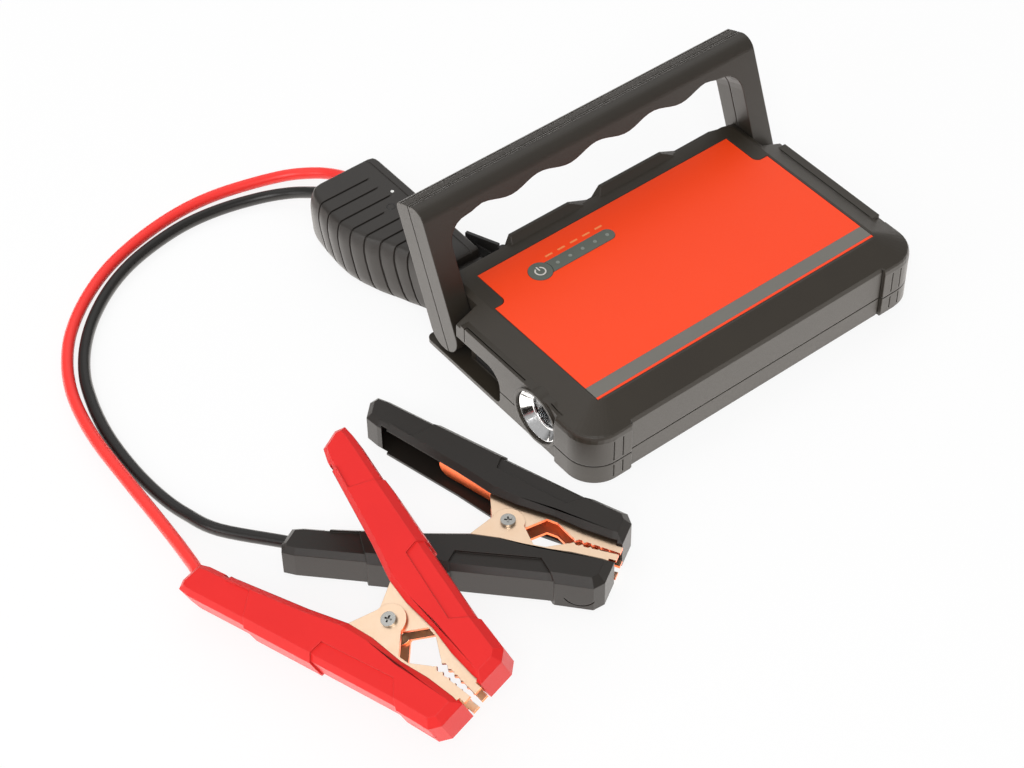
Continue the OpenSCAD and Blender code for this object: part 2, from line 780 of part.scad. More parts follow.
module port_cover() {
    color("#232120") difference() {
        union() {
            translate([-cover_x - cover_t, cover_y0, cover_z0]) cube([cover_t, cover_l, cover_h]);
            translate([-cover_x - cover_t - 0.8, cover_y0 + 8, cover_z0 + cover_h - 4])
                cube([1, cover_l - 16, 1.6]);
        }
        translate([-cover_x - cover_t - 0.5, cover_y0 + 2, cover_z0 + 3.5]) cube([0.9, cover_l - 4, 0.8]);
    }
}

// Socket for the smart plug in the rear wall
module jump_socket() {
    w = socket_w + 1;
    color("#1f1e1d") difference() {
        translate([socket_x - w / 2, half_d - recess_d - wall - socket_d, wall])
            cube([w, socket_d, socket_z + socket_h / 2 - wall]);
        for (s = [-1, 1]) translate([socket_x + s * pin_pitch / 2, half_d - recess_d - wall + 1, socket_z])
            rotate([90, 0, 0]) cylinder(h = socket_d - 1, r = pin_r + fit + tube_t + 0.02);
    }
}

module socket_contacts() {
    color("#c9a55a") for (s = [-1, 1])
        translate([socket_x + s * pin_pitch / 2, half_d - recess_d - wall, socket_z])
        rotate([90, 0, 0]) difference() {
            cylinder(h = socket_d - 2, r = pin_r + fit + tube_t);
            translate([0, 0, -1]) cylinder(h = socket_d - 2, r = pin_r + fit);
        }
}

module socket_flap() {
    color("#1f1d1c") translate([flap_x, flap_y, 0]) rotate([0, 0, flap_turn]) difference() {
        union() {
            translate([0, 0, flap_z + knuckle_h + 1])
                cylinder(h = flap_h - 2 * knuckle_h - 2, r = knuckle_r - 0.2);
            translate([-flap_t / 2, 0, flap_z + knuckle_h + 1])
                cube([flap_t, knuckle_r + 2, flap_h - 2 * knuckle_h - 2]);
            translate([-flap_t / 2, 0, flap_z]) rotate([90, 0, 90]) linear_extrude(flap_t)
                polygon([[knuckle_r + 1, 0], [flap_l - 6, 0], [flap_l, 8], [flap_l, flap_h - 4],
                    [knuckle_r + 1, flap_h]]);
            translate([-flap_t / 2 - 0.8, 6, flap_z + 6]) cube([1, flap_l - 14, flap_h - 14]);
        }
        cylinder(h = body_h, r = flap_pin_r + fit);
    }
}

module flap_hinge() {
    color("#2a2826") translate([flap_x, half_d, 0]) {
        for (z = [flap_z + 0.5, flap_z + flap_h - 0.5 - knuckle_h]) translate([0, 0, z]) {
            translate([-knuckle_r, 0, 0]) cube([2 * knuckle_r, flap_y - half_d, knuckle_h]);
            translate([0, flap_y - half_d, 0]) cylinder(h = knuckle_h, r = knuckle_r);
        }
        translate([0, flap_y - half_d, flap_z + 0.5]) cylinder(h = flap_h - 1, r = flap_pin_r);
    }
}

// Handle, drawn upright about its pivots and then leaned
module at_handle() {
    translate([0, pivot_y, pivot_h]) rotate([-handle_lean, 0, 0]) children();
}

module bail(k) {
    r = leg_r - k;
    top = handle_l - k;
    corner = 4;
    brow = 8.5 - k;
    steps = 48;
    x0 = leg_in + k;
    span = leg_in - window_r;
    roof = grip_a + k;
    intersection() {
        rotate([90, 0, 90]) linear_extrude(2 * (leg_out - k), center = true)
            polygon(concat(arc([0, 0], r, 180, 360, 24), arc([r - corner, top - corner], corner, 0, 90, 6),
                arc([brow - r, top - brow], brow, 90, 180, 10)));
        difference() {
            rotate([90, 0, 0]) linear_extrude(handle_d + 2, center = true)
                polygon([[-leg_out + k, -leg_r - 1], [leg_out - k, -leg_r - 1], [leg_out - k, handle_l],
                    [k - leg_out, handle_l]]);
            rotate([90, 0, 0]) linear_extrude(handle_d + 4, center = true)
                polygon(concat([[-x0, -leg_r - 2], [x0, -leg_r - 2]],
                    arc([x0 - window_r, roof - window_r], window_r, 0, 90, 6),
                    [for (i = [1:steps - 1]) let (x = span - 2 * span * i / steps)
                        [x, roof + wave_h * cos(360 * x / wave_pitch) * min(1, (span - abs(x)) / 10)]],
                    arc([window_r - x0, roof - window_r], window_r, 90, 180, 6)));
        }
    }
}

// Screw places in the handle, across and up
handle_screw_at = [[-leg_out + leg_t / 2, 34], [leg_out - leg_t / 2, 34], [-79, handle_l - 6.5],
    [-39.5, handle_l - 6.5], [39.5, handle_l - 6.5], [79, handle_l - 6.5]];

module handle_bores() {
    for (p = handle_screw_at) translate([p[0], -8, p[1]]) rotate([-90, 0, 0]) {
        cylinder(h = 30, r = screw_r + 0.02);
        translate([0, 0, 8 + leg_r - 2.4]) cylinder(h = 8, r = screw_head_r + 0.2);
    }
    for (s = [-1, 1]) translate([s * (leg_in - 1 + pivot_tip + 0.3) / 2, 0, 0]) rotate([0, 90, 0])
        cylinder(h = pivot_tip + 0.3 - leg_in + 1, r = pivot_r + fit, center = true);
}

module handle_seam() {
    difference() {
        cube([3 * half_w, 0.7, 4 * handle_l], center = true);
        bail(seam_gap);
    }
}

// Long lines along the top of the grip
module grip_lines() {
    for (y = [9.4 - leg_r, leg_r - 5]) translate([0, y, handle_l])
        cube([2 * leg_out + 2, 0.7, 1.1], center = true);
}

module handle_front() {
    color("#4b4743") at_handle() difference() {
        bail(0);
        translate([-body_w, 0, -body_w]) cube([2 * body_w, body_w, 2 * body_w]);
        handle_seam();
        handle_bores();
        grip_lines();
    }
}

module handle_rear() {
    color("#4e4a46") at_handle() difference() {
        bail(0);
        translate([-body_w, -body_w, -body_w]) cube([2 * body_w, body_w, 2 * body_w]);
        handle_seam();
        handle_bores();
        grip_lines();
    }
}

module handle_screws() {
    color("#8b8f92") at_handle() for (p = handle_screw_at)
        translate([p[0], -6, p[1]]) rotate([-90, 0, 0]) difference() {
        union() {
            cylinder(h = 6 + leg_r - 2.3, r = screw_r - 0.05);
            translate([0, 0, 6 + leg_r - 2.35]) cylinder(h = 1.9, r = screw_head_r);
        }
        translate([0, 0, 6 + leg_r - 1.5]) cylinder(h = 3, r = 1.1, $fn = 6);
    }
}

module handle_pins() {
    color("#9a9c9e") pivot_bores(pivot_r);
}

// Smart plug: outline in plan, bulging on its left side
plug_right = socket_x + nose_w / 2 - 0.6;
plug_len = 98;
plug_path = [for (p = [[0, 0], [0, 94.5], [-1, 97], [-3.5, 98], [-40, 98], [-46.5, 96.5], [-48.8, 92],
    [-49.9, 83.5], [-50.7, 73.5], [-50.7, 63.5], [-48.7, 54], [-45.1, 44], [-39.9, 34], [-35.7, 24.5],
    [-32.5, 14.5], [-30.1, 4.5], [-29.2, 0]]) [plug_right + p[0], plug_y + p[1] * plug_len / 98]];
plug_room = [for (p = [[0, 0], [0, 98], [-44, 98], [-46, 84], [-46, 66], [-42, 50], [-33, 26], [-28, 0]])
    [plug_right + p[0], plug_y + p[1] * plug_len / 98]];
plug_half_h = plug_mid - plug_z0;

// Rings of the plug: height, inset all round and more inset on the bulging side
plug_rings = [[0, 2.2, 3.4], [1.6, 0.9, 1.6], [5, 0.2, 0.4], [11, 0, 0], [plug_half_h - plug_split, 0, 0]];
plug_tops = [[plug_half_h + plug_split, 0, 0], [25, 0, 0.5], [30, 0.2, 1.7], [plug_h - 1.6, 0.4, 2.8],
    [plug_h - 0.5, 0.9, 3.7], [plug_h, 1.7, 4.4]];

module plug_loft(rings) {
    loft([for (r = rings) let (p = inset(plug_path, r[1]))
        [for (i = [0:len(p) - 1]) p[i] + [i > 4 ? r[2] : 0, 0]]],
        [for (r = rings) plug_z0 + r[0]]);
}

module plug_space() {
    translate([0, 0, plug_z0 + plug_wall]) linear_extrude(plug_h - 2 * plug_wall)
        polygon(inset(plug_room, plug_wall));
}

module plug_nose(k) {
    translate([socket_x - nose_w / 2 + k, nose_y, socket_z - nose_h / 2 + k])
        cube([nose_w - 2 * k, plug_y + pin_root - nose_y, nose_h - 2 * k]);
}

module pin_holes(r) {
    for (s = [-1, 1]) translate([socket_x + s * pin_pitch / 2, half_d - recess_d - wall - 1, socket_z])
        rotate([-90, 0, 0]) cylinder(h = wall + 2, r = r);
}

module pin_bores(r) {
    for (s = [-1, 1]) translate([socket_x + s * pin_pitch / 2, nose_y - 1, socket_z]) rotate([-90, 0, 0])
        cylinder(h = plug_y + pin_root + 1 + fit - nose_y, r = r);
}

module plug_upper() {
    color("#3b3a37") difference() {
        union() {
            plug_loft(plug_tops);
            plug_nose(0);
        }
        plug_space();
        pin_bores(pin_r + 0.02);
        translate([-body_w, 0, plug_mid - body_h]) cube([2 * body_w, 3 * body_d, body_h]);
        translate([socket_x + 2, plug_y + 66.5, plug_z1 - 2]) cylinder(h = 3, r = plug_led_r + fit);
        translate([socket_x - 6, plug_y + 57, plug_z1 - 0.5]) difference() {
            cylinder(h = 2, r = plug_ring_r);
            translate([0, 0, -1]) cylinder(h = 4, r = plug_ring_r - 0.7);
        }
    }
}

module plug_lower() {
    color("#383734") difference() {
        union() {
            plug_loft(plug_rings);
            plug_nose(0);
        }
        plug_space();
        pin_bores(pin_r + 0.02);
        translate([-body_w, 0, plug_mid]) cube([2 * body_w, 3 * body_d, body_h]);
    }
}

module plug_board() {
    color("#2e6b45") {
        translate([plug_right - 20, plug_y + 12, plug_z0 + plug_wall]) cube([15, 74, 2]);
        for (y = [22, 48]) translate([plug_right - 19, plug_y + y, plug_z0 + plug_wall + 2 - eps])
            cube([11, 16, 12]);
    }
}

module plug_pins() {
    color("#c9a55a") for (s = [-1, 1]) translate([socket_x + s * pin_pitch / 2, nose_y - pin_l, socket_z])
        rotate([-90, 0, 0]) {
            translate([0, 0, 1]) cylinder(h = pin_l - 1 + plug_y + pin_root - nose_y, r = pin_r);
            cylinder(h = 1, r1 = pin_r - 0.8, r2 = pin_r);
        }
}

module plug_light() {
    color("white") translate([socket_x + 2, plug_y + 66.5, plug_z1 - 2]) cylinder(h = 2.1, r = plug_led_r);
}

module red_lead() {
    tail = [red_tail(24), red_tail(12), red_tail(0)];
    route = smooth(concat(red_route, tail));
    color("#ff4a4a") tube(route, lead_r, lead_sides, [0, 1, 0], unit(tail[2] - tail[1]));
}

module black_lead() {
    tail = [black_tail(24), black_tail(12), black_tail(0)];
    route = smooth(concat(black_route, tail));
    color("#35332f") tube(route, lead_r, lead_sides, [0, 1, 0], unit(tail[2] - tail[1]));
}

// Clamps lie on their sides, nose along local X, cable arm on the -Y side
function turn_z(v, a) = [v[0] * cos(a) - v[1] * sin(a), v[0] * sin(a) + v[1] * cos(a), v[2]];
function turn_x(v, a) = [v[0], v[1] * cos(a) - v[2] * sin(a), v[1] * sin(a) + v[2] * cos(a)];
function tail_point(d) = [tail_axis[0] - d, -tail_axis[1], clamp_h / 2];
function red_tail(d) = red_at + turn_z(turn_x(tail_point(d), red_tilt), red_turn);
function black_tail(d) = black_at + turn_z(tail_point(d), black_turn);

module at_red() {
    translate(red_at) rotate([0, 0, red_turn]) rotate([red_tilt, 0, 0]) children();
}

module at_black() {
    translate(black_at) rotate([0, 0, black_turn]) children();
}

arm_front = [[58, 6], [58, 20], [54, 25.4], [31, 29.5], [-20, 41], [-55, 49]];
cable_tail = [[-91, 57.4], [-98.5, 58], [-101, 52.5], [-100, 40.4], [-94, 37.6]];
free_tail = [[-86.5, 56.5], [-94.4, 57.3], [-97.4, 51.4], [-94.8, 40], [-87, 36.2]];
arm_back = [[-78, 33.5], [-36, 20.5], [-15, 13], [0, 10.4], [20, 9.6], [36, 6.8], [52, 5.6]];
pocket_path = [[55, 18.6], [52, 22.4], [30, 26.8], [-20, 38], [-55, 46]];
jaw_tip = 58.5;
tongue_end = -49;
web_path = [[54.8, 17], [50, 20], [30, 22.5], [0, 21.5], [-16, 21.5], [tongue_end, 31.5]];
plate_path = concat([[jaw_tip, 1.2], [jaw_tip, 5.2], [54.8, 5.2]], [for (i = [0:4]) web_path[i]],
    [[-15, 14], [-ear_r, 0], [ear_r, 0], [17, 9.6], [23, 9], [33, 2.8]]);
teeth = 5;
tooth_path = concat([[33, 6]], [for (i = [0:2 * teeth]) [33 + 2.2 * i, i % 2 == 0 ? 3.2 : 1.2]],
    [[jaw_tip, 1.2], [jaw_tip, 5]]);
collar_path = [[70, 62], [-52, 62], [-54.5, 50.5], [-65.5, 34.2], [-79.5, 38.4], [-81.5, 30], [-81.5, -5],
    [70, -5]];
panel_path = [[-17, 28.8], [24.3, 18.6], [38.4, 31.9], [38.4, 62], [-13, 62], [-13, 44.4], [-17.5, 36]];

// One cover, less k on every side
module cover_block(path, k) {
    loft([inset(path, k + cover_foot), inset(path, k), inset(path, k), inset(path, cover_edge)],
        [k, k + cover_foot, clamp_h - cover_edge, clamp_h - k]);
}

module arm_cover(cable) {
    arm_path = concat(arm_front, cable ? cable_tail : free_tail, arm_back);
    difference() {
        union() {
            cover_block(arm_path, cover_step);
            intersection() {
                cover_block(arm_path, 0);
                translate([0, 0, -1]) linear_extrude(clamp_h + 2) difference() {
                    polygon(collar_path);
                    polygon(panel_path);
                }
            }
        }
        translate([0, 0, cover_wall]) linear_extrude(clamp_h - 2 * cover_wall) polygon(concat(
            [[55, 0]], pocket_path, [[-84, 51], [-88, 50], [-86, 42], [-80, 28], [-20, 8], [20, 0]]));
        if (cable) {
            translate([tail_axis[0], tail_axis[1], clamp_h / 2]) rotate([0, -90, 0])
                cylinder(h = 24, r = lead_r + gap);
            translate([tail_axis[0], tail_axis[1], clamp_h / 2]) rotate([0, 90, 0])
                cylinder(h = ferrule_l + 1, r = ferrule_r + gap);
            translate([47, 26.45, clamp_h / 2 + 1]) rotate([-90, 0, -10]) difference() {
                cylinder(h = 6, r = hook_r, center = true);
                cylinder(h = 7, r = hook_r - 0.7, center = true);
                translate([-15, -15, -4]) cube([30, 19, 8]);
                translate([-15, -15, -4]) cube([30, 30, 3.6]);
            }
        }
    }
}

// Channel jaw: two plates with teeth, a web behind them and a round-ended tongue
module jaw(z0) {
    h = clamp_h - 2 * z0;
    back = len(web_path) - 1;
    for (z = [z0, z0 + h - jaw_t]) translate([0, 0, z]) difference() {
        linear_extrude(jaw_t) union() {
            polygon(plate_path);
            polygon(tooth_path);
            circle(ear_r);
        }
        translate([0, 0, -1]) cylinder(h = jaw_t + 2, r = rivet_r + fit);
    }
    intersection() {
        translate([0, 0, z0]) linear_extrude(h)
            polygon(concat(web_path, [for (i = [back:-1:0]) web_path[i] - [0, jaw_t]]));
        translate([0, 60, clamp_h / 2]) rotate([90, 0, 0]) linear_extrude(60) union() {
            translate([tongue_end + h / 2, 0]) circle(h / 2);
            translate([tongue_end + h / 2, -h / 2]) square([jaw_tip - tongue_end, h]);
        }
    }
}

module clamp_rivet() {
    h = clamp_h - 2 * plate_a;
    translate([0, 0, plate_a]) difference() {
        union() {
            cylinder(h = h, r = rivet_r);
            for (z = [-rivet_head_h, h]) translate([0, 0, z]) cylinder(h = rivet_head_h, r = rivet_head_r);
        }
        for (turn = [20, 110]) rotate(turn) translate([-rivet_head_r / 2, -0.45, h + 0.7])
            cube([rivet_head_r, 0.9, 3]);
    }
}

// Torsion spring around the rivet, one leg in each arm
module clamp_spring() {
    z0 = plate_b + jaw_t + wire_r + 0.4;
    rise = clamp_h - 2 * z0;
    steps = 34;
    coil = [for (i = [0:steps]) let (t = i / steps, a = 810 * t - 45)
        [coil_r * cos(a), coil_r * sin(a), z0 + rise * t]];
    in_dir = [cos(45), sin(45), 0];
    out_dir = [-cos(45), sin(45), 0];
    tube(concat([coil[0] - 21 * in_dir], coil, [coil[steps] + 15 * out_dir]), wire_r, 8, in_dir, out_dir);
}

// Crimp on the lead's end with a strap to the cable arm's jaw
module clamp_crimp() {
    mirror([0, 1, 0]) {
        translate([tail_axis[0], tail_axis[1], clamp_h / 2]) rotate([0, 90, 0])
            cylinder(h = ferrule_l, r = ferrule_r);
        translate([0, 0, clamp_h / 2 - 4]) linear_extrude(8)
            polygon([[-67, 46], [-67, 43], [-44, 30.6], [-30, 26.3], [-30, 27.8], [-44, 32.2]]);
    }
}

module red_cable_cover() {
    color("#f03a3a") at_red() mirror([0, 1, 0]) arm_cover(true);
}

module red_free_cover() {
    color("#f03a3a") at_red() arm_cover(false);
}

module red_cable_jaw() {
    color("#e9b48f") at_red() mirror([0, 1, 0]) jaw(plate_a);
}

module red_free_jaw() {
    color("#e9b48f") at_red() jaw(plate_b);
}

module red_rivet() {
    color("#b9bbbd") at_red() clamp_rivet();
}

module red_spring() {
    color("#8d9093") at_red() clamp_spring();
}

module red_crimp() {
    color("#d98f62") at_red() clamp_crimp();
}

module black_cable_cover() {
    color("#3f3c38") at_black() mirror([0, 1, 0]) arm_cover(true);
}

module black_free_cover() {
    color("#3f3c38") at_black() arm_cover(false);
}

module black_cable_jaw() {
    color("#e9b48f") at_black() mirror([0, 1, 0]) jaw(plate_a);
}

module black_free_jaw() {
    color("#e9b48f") at_black() jaw(plate_b);
}

module black_rivet() {
    color("#b9bbbd") at_black() clamp_rivet();
}

module black_spring() {
    color("#8d9093") at_black() clamp_spring();
}

module black_crimp() {
    color("#d98f62") at_black() clamp_crimp();
}

lower_shell();
upper_shell();
fascia_panel();
panel_stripe();
level_marks();
level_bar();
level_lights();
power_button();
power_mark();
circuit_board();
battery_tray();
battery_cells();
case_screws();
torch_bezel();
torch_lens();
torch_reflector();
torch_light();
port_block();
port_cover();
jump_socket();
socket_contacts();
socket_flap();
flap_hinge();
handle_front();
handle_rear();
handle_screws();
handle_pins();
plug_upper();
plug_lower();
plug_board();
plug_pins();
plug_light();
red_lead();
black_lead();
red_cable_cover();
red_free_cover();
red_cable_jaw();
red_free_jaw();
red_rivet();
red_spring();
red_crimp();
black_cable_cover();
black_free_cover();
black_cable_jaw();
black_free_jaw();
black_rivet();
black_spring();
black_crimp();
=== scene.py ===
import bpy
import bmesh
import math
from mathutils import Matrix, Vector


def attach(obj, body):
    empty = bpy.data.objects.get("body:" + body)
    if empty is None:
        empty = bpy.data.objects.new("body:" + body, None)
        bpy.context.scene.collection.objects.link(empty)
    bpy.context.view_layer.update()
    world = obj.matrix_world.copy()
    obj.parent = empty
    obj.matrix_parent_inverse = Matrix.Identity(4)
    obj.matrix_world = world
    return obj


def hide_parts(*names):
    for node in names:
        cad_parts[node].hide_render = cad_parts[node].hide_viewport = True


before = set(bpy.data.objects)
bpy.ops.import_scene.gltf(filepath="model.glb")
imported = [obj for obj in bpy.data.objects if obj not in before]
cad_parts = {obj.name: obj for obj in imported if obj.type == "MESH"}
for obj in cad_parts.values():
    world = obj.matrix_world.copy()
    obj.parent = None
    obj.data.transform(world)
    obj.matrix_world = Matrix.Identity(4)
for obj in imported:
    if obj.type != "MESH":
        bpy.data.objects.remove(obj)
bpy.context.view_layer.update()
scene = bpy.context.scene
mm = 0.001

# Camera and leads come first, so that the rest is built around them


def makeCamera():
    view = {"place": (-0.6505, -0.6984, 0.9467), "right": (0.7845, -0.6200, -0.0104),
            "down": (-0.4546, -0.5637, -0.6896), "forward": (0.4217, 0.5457, -0.7241),
            "lens": 86.13, "sensor": 36, "clip": (0.05, 20)}
    data = bpy.data.cameras.new("studioCamera")
    data.sensor_width = view["sensor"]
    data.lens = view["lens"]
    data.clip_start, data.clip_end = view["clip"]
    camera = bpy.data.objects.new("studioCamera", data)
    scene.collection.objects.link(camera)
    right, down, forward = Vector(view["right"]), Vector(view["down"]), Vector(view["forward"])
    turn = Matrix((right, -down, -forward)).transposed().to_4x4()
    camera.matrix_world = Matrix.Translation(Vector(view["place"])) @ turn
    scene.camera = camera


# Turns a bmesh into an object that rides on its body; edges sharper than the angle stay crisp
def meshPiece(name, mesh, body, sharp=35):
    bmesh.ops.recalc_face_normals(mesh, faces=mesh.faces)
    for face in mesh.faces:
        face.smooth = True
    for edge in mesh.edges:
        if len(edge.link_faces) == 2 and edge.calc_face_angle(0) > math.radians(sharp):
            edge.smooth = False
    data = bpy.data.meshes.new(name)
    mesh.to_mesh(data)
    mesh.free()
    piece = bpy.data.objects.new(name, data)
    scene.collection.objects.link(piece)
    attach(piece, body)
    return piece


def joinLoops(mesh, pairs):
    for a, b in pairs:
        n = len(a)
        for i in range(n):
            mesh.faces.new((a[i], a[(i + 1) % n], b[(i + 1) % n], b[i]))


def addLoops(mesh, rings):
    return [[mesh.verts.new([c * mm for c in p]) for p in ring] for ring in rings]


# A closed solid through rings of points in millimetres, with a cap at each end
def skin(mesh, rings):
    loops = addLoops(mesh, rings)
    joinLoops(mesh, zip(loops, loops[1:]))
    mesh.faces.new(loops[0][::-1])
    mesh.faces.new(loops[-1])


# A ring that closes on itself, such as a bead or a washer
def skinRound(mesh, rings):
    loops = addLoops(mesh, rings)
    joinLoops(mesh, zip(loops, loops[1:] + loops[:1]))


# Angles of points spread evenly round a circle
def fullTurn(count):
    return [2 * math.pi * i / count for i in range(count)]


# Smooth curve through the given points, with the given number of steps between two of them
def roundRoute(points, steps):
    out = []
    last = len(points) - 1
    for i in range(last):
        a, b = points[max(i - 1, 0)], points[i]
        c, d = points[i + 1], points[min(i + 2, last)]
        for k in range(steps):
            t = k / steps
            out.append([0.5 * (2 * q + (r - p) * t + (2 * p - 5 * q + 4 * r - s) * t * t
                               + (3 * q - p - 3 * r + s) * t ** 3) for p, q, r, s in zip(a, b, c, d)])
    out.append(list(points[last]))
    return out


leads = {
    "red": {
        "route": [(-80, 177.5, 17), (-79.5, 188, 15), (-81, 200, 11), (-87, 213, 7), (-101, 225, 4.5),
                  (-126, 233.5, 4), (-149, 237.5, 4), (-172, 237, 4), (-198, 232, 4), (-223, 223, 4),
                  (-246, 209, 4), (-265, 192, 4), (-278, 174, 4), (-287, 155, 4.5), (-293, 134, 5.5),
                  (-297, 110, 7), (-299, 80, 7.5), (-300.5, 52, 8), (-302.5, 28, 10), (-305, 9, 13),
                  (-306.7, -0.9, 15.2), (-305.9, -12.9, 15.2), (-305.1, -24.9, 15.2)]},
    "black": {
        "route": [(-97, 177.5, 17), (-97.5, 187, 15), (-101, 197, 11), (-109, 208.5, 7), (-123, 218, 4.5),
                  (-145, 224.5, 4), (-167, 226.5, 4), (-189, 224, 4), (-211, 218, 4), (-231, 208, 4),
                  (-250, 193.5, 4), (-265, 177, 4), (-276, 159, 4), (-283, 140, 4), (-287.5, 122, 4),
                  (-290, 104, 4), (-291, 82, 4), (-290, 61, 4.5), (-287, 43, 5.5), (-281, 21, 9),
                  (-259.6, -8.9, 11), (-253.5, -19.2, 11), (-247.3, -29.5, 11)]},
}
leadShape = {"radius": 3.4, "sides": 24, "steps": 6}


def makeLead(colour, spec):
    points = [Vector(p) for p in roundRoute(spec["route"], leadShape["steps"])]
    last = len(points) - 1
    rings = []
    side = Vector((1, 0, 0))
    for i, point in enumerate(points):
        along = (points[min(i + 1, last)] - points[max(i - 1, 0)]).normalized()
        side = (side - along * side.dot(along)).normalized()
        over = along.cross(side)
        spokes = [side * math.cos(t) + over * math.sin(t) for t in fullTurn(leadShape["sides"])]
        rings.append([point + spoke * leadShape["radius"] for spoke in spokes])
    tube = bmesh.new()
    skin(tube, rings)
    lead = meshPiece(colour + "Lead", tube, "smart_lead")
    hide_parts(colour + "_lead")
    return lead


makeCamera()
leadPieces = {colour: makeLead(colour, spec) for colour, spec in leads.items()}
print("camera and leads made")

# Materials: sizes are millimetres on the real thing; a look's own values replace the usual ones.
# Spark grain, ink tooth, silicone haze and tool rings are really finer than 0.1 mm. They are drawn
# at 0.2 to 0.6 mm, so that they show.
softSamples = 6  # for rounded edges
recessSamples = 4  # for shaded recesses
noiseRough = 0.55
noiseSpan = {"From Min": 0.3, "From Max": 0.7}  # where most of a noise lies
# wear: how pale an edge gets; recessShade: brightness left in a recess, which is painted shade; lift: depth
# of the bump, which is a share of the grain for plastics and millimetres for metals
usualPlastic = {"cloud": 35, "edge": 0.5, "wear": 0.25, "recess": 9, "recessShade": 0.45, "ior": 1.5, "lift": 0.4,
                "smoother": 0.05, "rougher": 0.06, "recessRough": 0.3,
                "edgeSpan": {"From Min": 0.97, "From Max": 0.75},
                "recessSpan": {"From Min": 0.15, "From Max": 0.6}}
usualMetal = {"cloud": 9, "edge": 0.25, "stretch": (1, 1, 1), "recess": 2, "recessShade": 0.6, "lift": 0.05,
              "smoother": 0.06, "rougher": 0.08,
              "wallSpan": {"From Min": 0.55, "From Max": 0.85},
              "recessSpan": {"From Min": 0.25, "From Max": 0.75}}


def toLinear(hexColour):
    parts = [int(hexColour[i:i + 2], 16) / 255 for i in (1, 3, 5)]
    return [c / 12.92 if c <= 0.04045 else ((c + 0.055) / 1.055) ** 2.4 for c in parts] + [1.0]


# Settings are the node's own properties or the values of its inputs, links come from other nodes
def addNode(tree, kind, settings=None, links=None):
    node = tree.nodes.new(kind)
    for key, value in (settings or {}).items():
        if isinstance(key, int) or key in node.inputs:
            node.inputs[key].default_value = value
        else:
            setattr(node, key, value)
    for key, source in (links or {}).items():
        tree.links.new(source, node.inputs[key])
    return node


def newMaterial(name):
    material = bpy.data.materials.new(name)
    material.use_nodes = True
    tree = material.node_tree
    tree.nodes.clear()
    return material, tree


def mouldedSurface(name, own):
    look = {**usualPlastic, **own}
    material, tree = newMaterial(name)
    place = addNode(tree, "ShaderNodeTexCoord").outputs["Object"]
    grain = addNode(tree, "ShaderNodeTexNoise",
                    {"Scale": 1 / (look["grain"] * mm), "Detail": 3.0, "Roughness": noiseRough},
                    {"Vector": place}).outputs["Fac"]
    cloud = addNode(tree, "ShaderNodeTexNoise",
                    {"Scale": 1 / (look["cloud"] * mm), "Detail": 4.0, "Roughness": noiseRough},
                    {"Vector": place}).outputs["Fac"]
    body = addNode(tree, "ShaderNodeMix",
                   {"data_type": "RGBA", 6: toLinear(look["colour"]), 7: toLinear(look["tone"])},
                   {0: cloud})
    # Edges lose their grain in patches
    soft = addNode(tree, "ShaderNodeBevel", {"samples": softSamples, "Radius": look["edge"] * mm})
    flat = addNode(tree, "ShaderNodeNewGeometry")
    edge = addNode(tree, "ShaderNodeVectorMath", {"operation": "DOT_PRODUCT"},
                   {0: soft.outputs[0], 1: flat.outputs["Normal"]})
    lost = addNode(tree, "ShaderNodeMapRange", {**look["edgeSpan"], "To Min": 0, "To Max": look["wear"]},
                   {"Value": edge.outputs["Value"]})
    patches = addNode(tree, "ShaderNodeMath", {"operation": "MULTIPLY"}, {0: lost.outputs[0], 1: cloud})
    worn = addNode(tree, "ShaderNodeMix", {"data_type": "RGBA", 7: toLinear(look["rubbed"])},
                   {0: patches.outputs[0], 6: body.outputs[2]})
    # Painted shade: the colour is darkened where the occlusion lookup finds a recess, and the recess is
    # also made rougher, so it gives back less light
    bare = addNode(tree, "ShaderNodeAmbientOcclusion",
                   {"samples": recessSamples, "Distance": look["recess"] * mm}).outputs["AO"]
    shade = addNode(tree, "ShaderNodeMapRange", {**look["recessSpan"], "To Min": look["recessShade"], "To Max": 1},
                    {"Value": bare})
    deep = addNode(tree, "ShaderNodeVectorMath", {"operation": "SCALE"},
                   {0: worn.outputs[2], 3: shade.outputs[0]})
    gloss = addNode(tree, "ShaderNodeMapRange",
                    {**noiseSpan, "To Min": look["rough"] - look["smoother"],
                     "To Max": look["rough"] + look["rougher"]}, {"Value": grain})
    dull = addNode(tree, "ShaderNodeMapRange",
                   {**look["recessSpan"], "To Min": look["recessRough"], "To Max": 0}, {"Value": bare})
    rough = addNode(tree, "ShaderNodeMath", {"operation": "ADD", "use_clamp": True},
                    {0: gloss.outputs[0], 1: dull.outputs[0]})
    bump = addNode(tree, "ShaderNodeBump",
                   {"Strength": look["bump"], "Distance": look["grain"] * mm * look["lift"]},
                   {"Height": grain, "Normal": soft.outputs[0]})
    surface = addNode(tree, "ShaderNodeBsdfPrincipled", {"IOR": look["ior"]},
                      {"Base Color": deep.outputs[0], "Roughness": rough.outputs[0],
                       "Normal": bump.outputs[0]})
    addNode(tree, "ShaderNodeOutputMaterial", {}, {"Surface": surface.outputs[0]})
    return material


